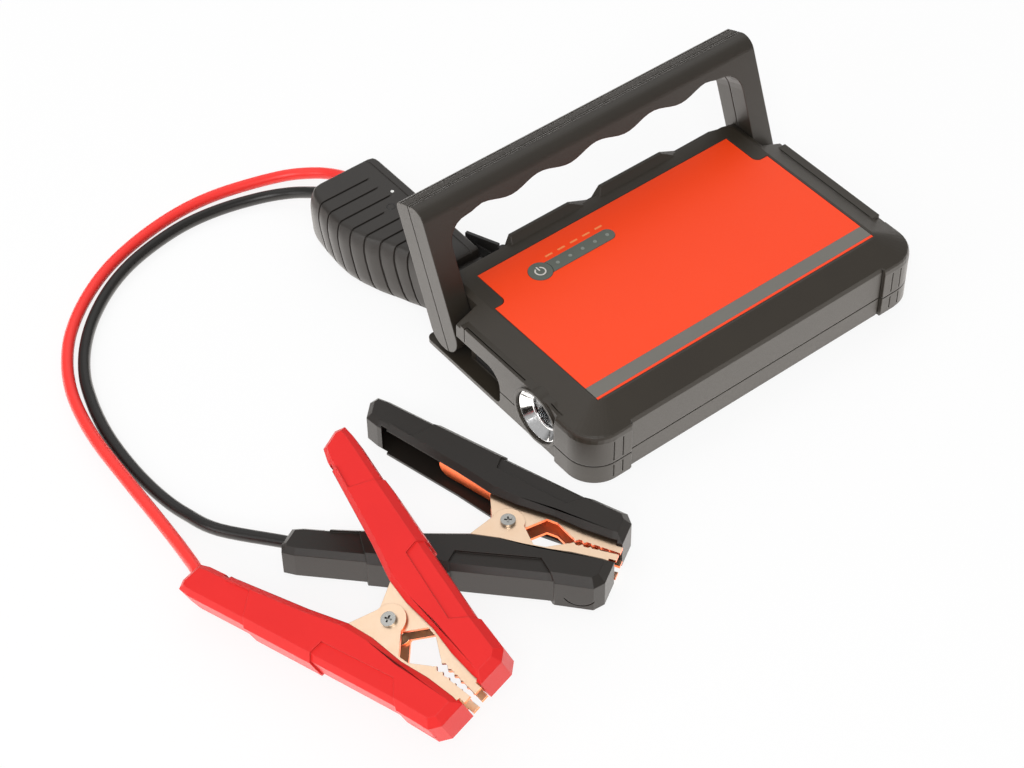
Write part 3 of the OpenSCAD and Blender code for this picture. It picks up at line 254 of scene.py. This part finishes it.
def platedMetal(name, own):
    look = {**usualMetal, **own}
    material, tree = newMaterial(name)
    coords = addNode(tree, "ShaderNodeTexCoord")
    rolled = addNode(tree, "ShaderNodeMapping", {"Scale": look["stretch"]},
                     {"Vector": coords.outputs["Object"]})
    lines = addNode(tree, "ShaderNodeTexNoise",
                    {"Scale": 1 / (look["grain"] * mm), "Detail": 5.0, "Roughness": noiseRough},
                    {"Vector": rolled.outputs[0]}).outputs["Fac"]
    cloud = addNode(tree, "ShaderNodeTexNoise",
                    {"Scale": 1 / (look["cloud"] * mm), "Detail": 3.0, "Roughness": noiseRough},
                    {"Vector": coords.outputs["Object"]}).outputs["Fac"]
    body = addNode(tree, "ShaderNodeMix",
                   {"data_type": "RGBA", 6: toLinear(look["colour"]), 7: toLinear(look["tone"])},
                   {0: cloud})
    # Painted shade: upright walls of a stamping get a deeper orange than its flat faces, standing in for
    # shade and light bounced between the copper faces
    facing = addNode(tree, "ShaderNodeSeparateXYZ", {}, {0: coords.outputs["Normal"]})
    level = addNode(tree, "ShaderNodeMath", {"operation": "ABSOLUTE"}, {0: facing.outputs["Z"]})
    flat = addNode(tree, "ShaderNodeMapRange", {**look["wallSpan"], "To Min": 0, "To Max": 1},
                   {"Value": level.outputs[0]})
    wallShadeMix = addNode(tree, "ShaderNodeMix",
                   {"data_type": "RGBA", 6: toLinear(look.get("wall", look["tone"]))},
                   {0: flat.outputs[0], 7: body.outputs[2]})
    # Painted shade: the colour of slots between two stampings is darkened where the occlusion lookup finds
    # them closed in, so they give back less light
    bare = addNode(tree, "ShaderNodeAmbientOcclusion",
                   {"samples": recessSamples, "Distance": look["recess"] * mm}).outputs["AO"]
    shade = addNode(tree, "ShaderNodeMapRange", {**look["recessSpan"], "To Min": look["recessShade"], "To Max": 1},
                    {"Value": bare})
    deep = addNode(tree, "ShaderNodeVectorMath", {"operation": "SCALE"},
                   {0: wallShadeMix.outputs[2], 3: shade.outputs[0]})
    gloss = addNode(tree, "ShaderNodeMapRange",
                    {**noiseSpan, "To Min": look["rough"] - look["smoother"],
                     "To Max": look["rough"] + look["rougher"]}, {"Value": lines})
    soft = addNode(tree, "ShaderNodeBevel", {"samples": softSamples, "Radius": look["edge"] * mm})
    bump = addNode(tree, "ShaderNodeBump", {"Strength": look["bump"], "Distance": look["lift"] * mm},
                   {"Height": lines, "Normal": soft.outputs[0]})
    surface = addNode(tree, "ShaderNodeBsdfPrincipled", {"Metallic": 1.0},
                      {"Base Color": deep.outputs[0], "Roughness": gloss.outputs[0],
                       "Normal": bump.outputs[0]})
    addNode(tree, "ShaderNodeOutputMaterial", {}, {"Surface": surface.outputs[0]})
    return material


plastics = {
    # ABS moulded against a spark-eroded tool: soft broken highlights, charcoal rather than black
    "absSparkGrain": {"colour": "#322C23", "tone": "#2B251D", "rubbed": "#6F6A62", "grain": 0.45,
                      "bump": 0.25, "rough": 0.42, "edge": 0.7, "wear": 0.35},
    # ABS with a finer grain on the handle: a little lighter, and silky along its edges
    "absHandleGrain": {"colour": "#2F2921", "tone": "#28231C", "rubbed": "#77716A", "grain": 0.4,
                       "bump": 0.22, "rough": 0.4, "edge": 0.8, "wear": 0.35},
    # Polycarbonate panel sprayed orange under a satin lacquer: even, saturated, with a faint orange peel
    "polycarbonateOrangeLacquer": {"colour": "#FF4710", "tone": "#FC410E", "rubbed": "#FF8A6A",
                                   "grain": 1.6, "bump": 0.05, "rough": 0.42, "edge": 0.2, "wear": 0.1,
                                   "cloud": 90, "ior": 1.4},
    # Screen-printed grey ink: flat and dusty, a little rough
    "screenInkGrey": {"colour": "#74716A", "tone": "#6A6862", "rubbed": "#8C887F", "grain": 0.3,
                      "bump": 0.12, "rough": 0.5, "edge": 0.1, "wear": 0.1},
    # Keypad silicone in grey-green: matt and slightly soft looking
    "siliconeKeyGrey": {"colour": "#626860", "tone": "#585E57", "rubbed": "#7C827A", "grain": 0.3,
                        "bump": 0.12, "rough": 0.5, "edge": 0.25, "wear": 0.15},
    # Pad-printed ink on the panel: a paler orange that sits flat in the surface
    "inkPaleOrange": {"colour": "#FF9456", "tone": "#FF8A4C", "rubbed": "#FFB199", "grain": 0.3,
                      "bump": 0.08, "rough": 0.45, "edge": 0.05, "wear": 0.1},
    # Pad-printed ink on the button: a soft white, slightly chalky
    "inkWarmWhite": {"colour": "#D8D4CE", "tone": "#CFCBC4", "rubbed": "#E6E2DC", "grain": 0.25,
                     "bump": 0.08, "rough": 0.45, "edge": 0.05, "wear": 0.1},
    # Diffusing acrylic over the lights: milky and smooth
    "acrylicDiffuser": {"colour": "#8E938C", "tone": "#858A83", "rubbed": "#A3A8A1", "grain": 0.6,
                        "bump": 0.03, "rough": 0.25, "edge": 0.1, "wear": 0.1, "ior": 1.49},
    # White acrylic light pipe: bright, smooth, almost wet
    "acrylicWhiteDot": {"colour": "#F2F2EE", "tone": "#E6E6E2", "rubbed": "#FFFFFF", "grain": 0.6,
                        "bump": 0.03, "rough": 0.25, "edge": 0.1, "wear": 0.1, "ior": 1.49},
    # Nylon inner mouldings: near black with a dull sheen
    "nylonInnerBlack": {"colour": "#1D1B19", "tone": "#171513", "rubbed": "#4A4641", "grain": 0.35,
                        "bump": 0.2, "rough": 0.45, "edge": 0.3, "wear": 0.25, "ior": 1.53},
    # Ribbed plug in soft-touch ABS: darker than the case, with clean lit edges
    "absPlugSoftTouch": {"colour": "#28231E", "tone": "#221E1A", "rubbed": "#5E5953", "grain": 0.4,
                         "bump": 0.2, "rough": 0.42, "edge": 0.45, "wear": 0.3},
    # Moulded rubber cover: matt and dark, drinks the light
    "rubberPortCover": {"colour": "#1C1A18", "tone": "#161412", "rubbed": "#3E3A36", "grain": 0.3,
                        "bump": 0.25, "rough": 0.6, "edge": 0.3, "wear": 0.2, "ior": 1.52},
    # Clamp covers in plasticised PVC: bright, slightly waxy, with worn pale edges
    "pvcClampRed": {"colour": "#E4211E", "tone": "#DA1C1A", "rubbed": "#FF8078", "grain": 0.5,
                    "bump": 0.1, "rough": 0.48, "edge": 0.6, "wear": 0.45, "ior": 1.4, "recessShade": 0.7},
    # The same covers in black PVC: charcoal with greyed edges
    "pvcClampBlack": {"colour": "#231E19", "tone": "#1D1915", "rubbed": "#6A645D", "grain": 0.5,
                      "bump": 0.12, "rough": 0.46, "edge": 0.6, "wear": 0.35, "ior": 1.43},
    # Silicone leads: smooth extrusion with a satin line of light
    "siliconeLeadRed": {"colour": "#FF3C36", "tone": "#FA342E", "rubbed": "#FF6A66", "grain": 0.6,
                        "bump": 0.06, "rough": 0.34, "edge": 0.1, "wear": 0.1, "ior": 1.43},
    # Black silicone extrusion: deep, with the same satin line
    "siliconeLeadBlack": {"colour": "#1E1C1A", "tone": "#181614", "rubbed": "#45413C", "grain": 0.6,
                          "bump": 0.06, "rough": 0.34, "edge": 0.1, "wear": 0.1, "ior": 1.43},
    # Solder mask over glass fibre: green with a woven ripple
    "solderMaskGreen": {"colour": "#1F5A38", "tone": "#2A6B45", "rubbed": "#7FA58C", "grain": 0.8,
                        "bump": 0.2, "rough": 0.3, "edge": 0.1, "wear": 0.3, "ior": 1.55},
    # White solder mask of the torch's board: creamy and faintly glossy
    "ledBoardWhite": {"colour": "#E9E4C8", "tone": "#DCD7B8", "rubbed": "#F5F2E0", "grain": 0.5,
                      "bump": 0.08, "rough": 0.35, "edge": 0.1, "wear": 0.1},
}
metals = {
    # Copper-plated spring steel, stamped: warm pink metal with fine rolling lines and pale edges; its
    # upright walls carry a painted deeper orange for shade
    "copperPlateStamped": {"colour": "#F6DCC2", "tone": "#F2CFAE", "wall": "#F5784A", "grain": 0.5,
                           "stretch": (1, 1, 0.15), "bump": 0.3, "rough": 0.34, "edge": 0.3},
    # Nickel-plated steel rivets and screws: grey, clean, a little blurred
    "nickelPlateSteel": {"colour": "#B4B3AF", "tone": "#9D9C98", "grain": 0.25, "bump": 0.25,
                         "rough": 0.26, "edge": 0.2, "recess": 1.2, "recessShade": 0.15},
    # Chromed ABS on the torch's bezel and lens ring: mirror bright
    "chromePlatePolished": {"colour": "#EDEDED", "tone": "#E2E2E2", "grain": 1.2, "bump": 0.03,
                            "rough": 0.12, "edge": 0.3},
    # The torch's inner bowl behind the lens: chrome painted dark grey as the shade seen inside the lens, so
    # that it reads as deep glass
    "chromeBowlPaintedDark": {"colour": "#4A4B4D", "tone": "#3A3B3D", "grain": 1.2, "bump": 0.01,
                         "rough": 0.3, "edge": 0.3},
    # Turned brass contacts: yellow with fine tool rings
    "brassContactTurned": {"colour": "#D9B26A", "tone": "#C99F55", "grain": 0.2, "bump": 0.3,
                           "rough": 0.3, "edge": 0.15},
    # Matt aluminium pouch foil of the cells: pale, crinkled
    "aluminiumPouchFoil": {"colour": "#C4C8CC", "tone": "#AFB4B9", "grain": 2.2, "bump": 0.5,
                           "rough": 0.42, "edge": 0.4},
}
finishes = {name: mouldedSurface(name, look) for name, look in plastics.items()}
finishes.update({name: platedMetal(name, look) for name, look in metals.items()})


def clearLens(name):
    look = {"colour": "#F4F8FA", "rough": 0.04, "hazeRough": 0.05, "ior": 1.585, "haze": 2.5}
    material, tree = newMaterial(name)
    place = addNode(tree, "ShaderNodeTexCoord").outputs["Object"]
    haze = addNode(tree, "ShaderNodeTexNoise",
                   {"Scale": 1 / (look["haze"] * mm), "Detail": 3.0, "Roughness": noiseRough},
                   {"Vector": place}).outputs["Fac"]
    gloss = addNode(tree, "ShaderNodeMapRange",
                    {**noiseSpan, "To Min": look["rough"], "To Max": look["rough"] + look["hazeRough"]},
                    {"Value": haze})
    surface = addNode(tree, "ShaderNodeBsdfPrincipled",
                      {"Base Color": toLinear(look["colour"]), "IOR": look["ior"],
                       "Transmission Weight": 1.0}, {"Roughness": gloss.outputs[0]})
    addNode(tree, "ShaderNodeOutputMaterial", {}, {"Surface": surface.outputs[0]})
    return material


# Injection-moulded clear polycarbonate: glassy, with a trace of flow haze
finishes["polycarbonateLensClear"] = clearLens("polycarbonateLensClear")

finishOf = {
    "lower_shell": "absSparkGrain", "upper_shell": "absSparkGrain",
    "handle_front": "absHandleGrain", "handle_rear": "absHandleGrain",
    "fascia_panel": "polycarbonateOrangeLacquer", "panel_stripe": "screenInkGrey",
    "level_bar": "siliconeKeyGrey", "power_button": "siliconeKeyGrey",
    "level_marks": "inkPaleOrange", "power_mark": "inkWarmWhite", "level_lights": "acrylicDiffuser",
    "plug_light": "acrylicWhiteDot", "circuit_board": "solderMaskGreen", "plug_board": "solderMaskGreen",
    "battery_tray": "nylonInnerBlack", "battery_cells": "aluminiumPouchFoil",
    "case_screws": "nickelPlateSteel", "handle_screws": "nickelPlateSteel",
    "handle_pins": "nickelPlateSteel",
    "torch_bezel": "chromePlatePolished", "torch_reflector": "chromeBowlPaintedDark",
    "torch_lens": "polycarbonateLensClear", "torch_light": "ledBoardWhite",
    "port_block": "nylonInnerBlack", "jump_socket": "nylonInnerBlack", "socket_flap": "nylonInnerBlack",
    "flap_hinge": "nylonInnerBlack", "port_cover": "rubberPortCover",
    "socket_contacts": "brassContactTurned", "plug_pins": "brassContactTurned",
    "plug_upper": "absPlugSoftTouch", "plug_lower": "absPlugSoftTouch",
}
for colour, cover in (("red", "pvcClampRed"), ("black", "pvcClampBlack")):
    for part, finish in (("cable_cover", cover), ("free_cover", cover), ("cable_jaw", "copperPlateStamped"),
                         ("free_jaw", "copperPlateStamped"), ("crimp", "copperPlateStamped"),
                         ("rivet", "nickelPlateSteel"), ("spring", "nickelPlateSteel")):
        finishOf[colour + "_" + part] = finish


def coat(piece, finish):
    piece.data.materials.clear()
    piece.data.materials.append(finishes[finish])


for node, finish in finishOf.items():
    coat(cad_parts[node], finish)
for colour, finish in (("red", "siliconeLeadRed"), ("black", "siliconeLeadBlack")):
    coat(leadPieces[colour], finish)
    coat(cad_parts[colour + "_lead"], finish)
print("materials made")

# Smart plug with its ribs: tables run along y, from the nose to the rear wall
plug = {
    "left": [(79.5, -99.1), (84, -100), (94, -102.4), (104, -105.6), (113.5, -109.8), (123.5, -115),
             (133.5, -118.6), (143, -120.5), (153, -120.7), (163, -119.9), (168, -119.2), (172, -118.2),
             (175, -116.6), (176.6, -114.4), (177.5, -110.5)],
    "right": [(79.5, -69.9), (173.5, -69.9), (175.6, -70.5), (176.9, -71.6), (177.5, -73.4)],
    # how far the bottom of a section stays behind its top
    "lean": [(79.5, 0), (96, 12), (109, 13.5), (117, 12), (125.5, 10.8), (134.5, 9.7), (163, 9.5),
             (170, 7), (177.5, 0)],
    "leanPower": 1.7,
    "bottom": 1, "top": 35.5,
    # left flank: inset, height over the bottom, share of a groove's depth
    "flank": [(7, 0, 0), (4.6, 0.3, 0.3), (2.7, 1.1, 0.7), (1.3, 2.5, 1), (0.4, 4.8, 1), (0, 8, 1),
              (0, 14, 1), (0, 20, 1), (0.3, 25, 1), (0.9, 28.3, 1), (1.7, 31, 1), (2.7, 33, 1),
              (3.4, 33.9, 1), (4.3, 34.38, 1), (5.4, 34.5, 1)],
    "bulgeFrom": 6, "bulgeTo": 30,
    # close under the top, a groove cuts less inward and more downward
    "inwardUntil": 0.2, "inwardLess": 0.3, "dropFrom": 0.8,
    # seam line and rounded edge along the right of the top, then the right flank
    "rim": [(-6, 0), (-5.75, -0.4), (-5.35, -0.4), (-5.1, 0), (-2, 0), (-0.9, -0.3), (-0.25, -1),
            (0, -2.2)],
    "rightFlank": [(0, 18), (0, 4), (-0.4, 1.6), (-1.4, 0.4), (-3.4, 0)],
    "topFrom": 6.2, "topTo": 6.4, "topSteps": 26,
    "grooveDepth": 0.95, "grooveHalf": 0.5, "grooveLip": 0.12, "grooveFade": 1.2,
    # grooves: place along y, and how far over the top each one reaches
    "grooves": [(101, -88), (109, -88), (117, -88.5), (125.8, -89.5), (134.8, -94), (144, -82.6),
                (153.6, -84.8), (162.8, -84.3)],
    # swell of the rib between two grooves, at its shoulders and in its middle
    "ribShoulder": (1.9, 0.3), "ribMiddle": 0.5,
    # ends: place along y, shrink, swell
    "front": [(79.5, 1.6, 0), (79.9, 0.7, 0), (81, 0.1, 0), (90, 0, 0)],
    "rear": [(166, 0, 0.15), (169, 0, 0.1), (172, 0, 0), (174.4, 0, 0), (176, 0.15, 0), (177, 0.6, 0),
             (177.5, 1.5, 0)],
}
# Spans run along y and grow outward; each end has its scale, and how far in it is full size
nose = {"left": -94.7, "right": -69.3, "low": 9.8, "top": 29.2, "corner": 3.2, "cornerSteps": 5,
        "spans": [(62.8, 82, 0), (74, 78.2, 1.3)], "rightGrow": 0.4,
        "frontSoft": (0.965, 0.5), "rearSoft": (0.97, 0.4)}
# Bands: radius, and height over the plug's top
ringMark = {"centre": (-88, 136.5, 35.5), "turns": 40, "sharp": 60,
            "bands": [(2.6, -0.3), (2.55, 0.05), (2.4, 0.14), (2.05, 0.14), (1.9, 0.05), (1.85, -0.3)]}


def tableAt(table, y):
    if y <= table[0][0]:
        return table[0][1]
    for (y0, v0), (y1, v1) in zip(table, table[1:]):
        if y <= y1:
            return v0 + (v1 - v0) * (y - y0) / (y1 - y0)
    return table[-1][1]


def plugSection(left, right, groove, depth, shrink, swell):
    low, top = plug["bottom"], plug["top"]
    points = []
    for inset, up, cut in plug["flank"]:
        z = low + up
        bulge = swell if plug["bulgeFrom"] < up < plug["bulgeTo"] else 0
        inward = depth * cut * (1 if z < top - plug["inwardUntil"] else plug["inwardLess"])
        points.append([left + inset - bulge + inward, z - (depth if z > top - plug["dropFrom"] else 0)])
    x0, x1 = left + plug["topFrom"], right - plug["topTo"]
    for i in range(plug["topSteps"] + 1):
        x = x0 + (x1 - x0) * i / plug["topSteps"]
        reach = min(1, max(0, (groove - x) / plug["grooveFade"] + 0.5)) if groove is not None else 0
        points.append([x, top - depth * reach])
    points += [[right + dx, top + dz] for dx, dz in plug["rim"]]
    points += [[right + dx, low + up] for dx, up in plug["rightFlank"]]
    midX, midZ = (left + right) / 2, (low + top) / 2
    keepX, keepZ = 1 - 2 * shrink / (right - left), 1 - 2 * shrink / (top - low)
    return [(midX + (x - midX) * keepX, midZ + (z - midZ) * keepZ) for x, z in points]


# Each station: place along y, shrink, the groove's reach or None, its depth, swell
def plugStations():
    half, lip, depth = plug["grooveHalf"], plug["grooveLip"], plug["grooveDepth"]
    away, shoulder = plug["ribShoulder"]
    stations = [(y, shrink, None, 0, swell) for y, shrink, swell in plug["front"]]
    before = None
    for y, reach in plug["grooves"]:
        if before is not None:
            stations += [(before + away, 0, None, 0, shoulder),
                         ((before + y) / 2, 0, None, 0, plug["ribMiddle"]),
                         (y - away, 0, None, 0, shoulder)]
        stations += [(y - half - lip, 0, None, 0, 0), (y - half, 0, reach, depth, 0),
                     (y + half, 0, reach, depth, 0), (y + half + lip, 0, None, 0, 0)]
        before = y
    stations += [(y, shrink, None, 0, swell) for y, shrink, swell in plug["rear"]]
    return stations


# Rounded rectangle across the nose, counted anticlockwise from its lower left corner
def noseOutline(grow):
    x0, x1 = nose["left"] - grow, nose["right"] + grow * nose["rightGrow"]
    z0, z1 = nose["low"] - grow, nose["top"] + grow
    corner = nose["corner"]
    centres = [(x0 + corner, z0 + corner), (x1 - corner, z0 + corner), (x1 - corner, z1 - corner),
               (x0 + corner, z1 - corner)]
    outline = []
    for k, (x, z) in enumerate(centres):
        for i in range(nose["cornerSteps"]):
            turn = math.radians(180 + 90 * k + 90 * i / (nose["cornerSteps"] - 1))
            outline.append((x + corner * math.cos(turn), z + corner * math.sin(turn)))
    return outline, (x0 + x1) / 2, (z0 + z1) / 2


def makePlug():
    mesh = bmesh.new()
    rings = []
    tall = plug["top"] - plug["bottom"]
    for y, shrink, groove, depth, swell in plugStations():
        left, right, lean = (tableAt(plug[key], y) for key in ("left", "right", "lean"))
        section = plugSection(left, right, groove, depth, shrink, swell)
        rings.append([(x, y - lean * max(0, (plug["top"] - z) / tall) ** plug["leanPower"], z)
                      for x, z in section])
    skin(mesh, rings)
    frontScale, frontRound = nose["frontSoft"]
    rearScale, rearRound = nose["rearSoft"]
    for y0, y1, grow in nose["spans"]:
        outline, midX, midZ = noseOutline(grow)
        ends = ((y0, frontScale), (y0 + frontRound, 1), (y1 - rearRound, 1), (y1, rearScale))
        skin(mesh, [[(midX + (x - midX) * s, y, midZ + (z - midZ) * s) for x, z in outline]
                    for y, s in ends])
    piece = meshPiece("plugBody", mesh, "smart_lead")
    coat(piece, "absPlugSoftTouch")
    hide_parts("plug_upper", "plug_lower")


# Thin raised ring around the plug's light
def makeRingMark():
    mesh = bmesh.new()
    x, y, z = ringMark["centre"]
    turns = fullTurn(ringMark["turns"])
    skinRound(mesh, [[(x + r * math.cos(t), y + r * math.sin(t), z + h) for t in turns]
                     for r, h in ringMark["bands"]])
    ring = meshPiece("plugRingMark", mesh, "smart_lead", ringMark["sharp"])
    coat(ring, "nylonInnerBlack")


makePlug()
makeRingMark()
print("plug made")

# Bright ring that holds the torch's lens
torchRing = {"centre": (-109.35, -26.3, 20), "radius": 10.6, "wire": 0.85, "turns": 72, "sides": 12,
             "sharp": 80}


def makeTorchRing():
    mesh = bmesh.new()
    x, y, z = torchRing["centre"]
    rings = []
    for turn in fullTurn(torchRing["turns"]):
        ring = []
        for roll in fullTurn(torchRing["sides"]):
            reach = torchRing["radius"] + torchRing["wire"] * math.cos(roll)
            out = torchRing["wire"] * math.sin(roll)
            ring.append((x + out, y + reach * math.cos(turn), z + reach * math.sin(turn)))
        rings.append(ring)
    skinRound(mesh, rings)
    piece = meshPiece("torchLensRing", mesh, "case", torchRing["sharp"])
    coat(piece, "chromePlatePolished")


makeTorchRing()
print("torch ring made")

# Floor and light


# Paper floor: it takes the object's shadow, and reads as white in the camera and in mirrored light
def makeFloor():
    look = {"size": 1.5, "height": -0.0003, "white": 0.93, "seen": "#FFFFFF", "mirroredTone": "#FFFBF7",
            "mirrored": 2.6, "glowShare": 0.86}
    mesh = bmesh.new()
    half = look["size"] / 2
    signs = ((-1, -1), (1, -1), (1, 1), (-1, 1))
    mesh.faces.new([mesh.verts.new((x * half, y * half, look["height"])) for x, y in signs])
    data = bpy.data.meshes.new("studioFloor")
    mesh.to_mesh(data)
    mesh.free()
    floor = bpy.data.objects.new("studioFloor", data)
    scene.collection.objects.link(floor)
    material, tree = newMaterial("paperSweepWhite")
    paper = addNode(tree, "ShaderNodeBsdfDiffuse", {"Color": [look["white"]] * 3 + [1]})
    path = addNode(tree, "ShaderNodeLightPath").outputs
    mirrored = addNode(tree, "ShaderNodeMath", {"operation": "MULTIPLY", 1: look["mirrored"]},
                       {0: path["Is Glossy Ray"]})
    strength = addNode(tree, "ShaderNodeMath", {"operation": "MAXIMUM", 1: 1.0}, {0: mirrored.outputs[0]})
    tone = addNode(tree, "ShaderNodeMix",
                   {"data_type": "RGBA", 6: toLinear(look["seen"]), 7: toLinear(look["mirroredTone"])},
                   {0: path["Is Glossy Ray"]})
    glow = addNode(tree, "ShaderNodeEmission", {},
                   {"Strength": strength.outputs[0], "Color": tone.outputs[2]})
    seen = addNode(tree, "ShaderNodeMath", {"operation": "MAXIMUM"},
                   {0: path["Is Camera Ray"], 1: path["Is Glossy Ray"]})
    through = addNode(tree, "ShaderNodeMath", {"operation": "MAXIMUM"},
                      {0: seen.outputs[0], 1: path["Is Transmission Ray"]})
    share = addNode(tree, "ShaderNodeMath", {"operation": "MULTIPLY", 1: look["glowShare"]},
                    {0: through.outputs[0]})
    both = addNode(tree, "ShaderNodeMixShader", {},
                   {0: share.outputs[0], 1: paper.outputs[0], 2: glow.outputs[0]})
    addNode(tree, "ShaderNodeOutputMaterial", {}, {"Surface": both.outputs[0]})
    data.materials.append(material)


# Light tent, brighter overhead than at the horizon; the camera sees plain white behind the floor
def makeWorld():
    tent = {"From Min": -0.05, "From Max": 0.4, "To Min": 0.15, "To Max": 0.62}
    world = bpy.data.worlds.new("studioWorld")
    scene.world = world
    world.use_nodes = True
    sky = world.node_tree
    sky.nodes.clear()
    way = addNode(sky, "ShaderNodeTexCoord").outputs["Generated"]
    rise = addNode(sky, "ShaderNodeSeparateXYZ", {}, {0: way}).outputs["Z"]
    level = addNode(sky, "ShaderNodeMapRange", tent, {"Value": rise})
    dim = addNode(sky, "ShaderNodeBackground", {}, {"Strength": level.outputs[0]})
    back = addNode(sky, "ShaderNodeBackground", {"Color": (1, 1, 1, 1), "Strength": 1.0})
    path = addNode(sky, "ShaderNodeLightPath").outputs
    pick = addNode(sky, "ShaderNodeMixShader", {},
                   {0: path["Is Camera Ray"], 1: dim.outputs[0], 2: back.outputs[0]})
    addNode(sky, "ShaderNodeOutputWorld", {}, {"Surface": pick.outputs[0]})


lamps = {
    "keyLamp": {"place": (-1.9, -2.1, 2.85), "aim": (-0.05, 0.03, 0), "size": 2.1, "power": 82},
    "rearSoftbox": {"place": (0.85, 1.15, 1.5), "aim": (-0.05, 0, 0), "size": 1.9, "power": 6.5},
    "topSoftbox": {"place": (-0.72, 1.02, 1.9), "aim": (-0.25, -0.1, 0), "size": 1.1, "power": 3.8},
    "sideLamp": {"place": (-2.2, 0.2, 0.8), "aim": (-0.1, 0, 0), "size": 1.2, "power": 12},
}


def makeLamp(name, lamp):
    light = bpy.data.lights.new(name, "AREA")
    light.size = lamp["size"]
    light.energy = lamp["power"]
    holder = bpy.data.objects.new(name, light)
    scene.collection.objects.link(holder)
    holder.location = lamp["place"]
    holder.rotation_mode = "QUATERNION"
    holder.rotation_quaternion = (Vector(lamp["aim"]) - Vector(lamp["place"])).to_track_quat("-Z", "Y")


makeFloor()
makeWorld()
for name, lamp in lamps.items():
    makeLamp(name, lamp)
scene.view_settings.view_transform = "Standard"
print("studio made")
bpy.context.view_layer.update()
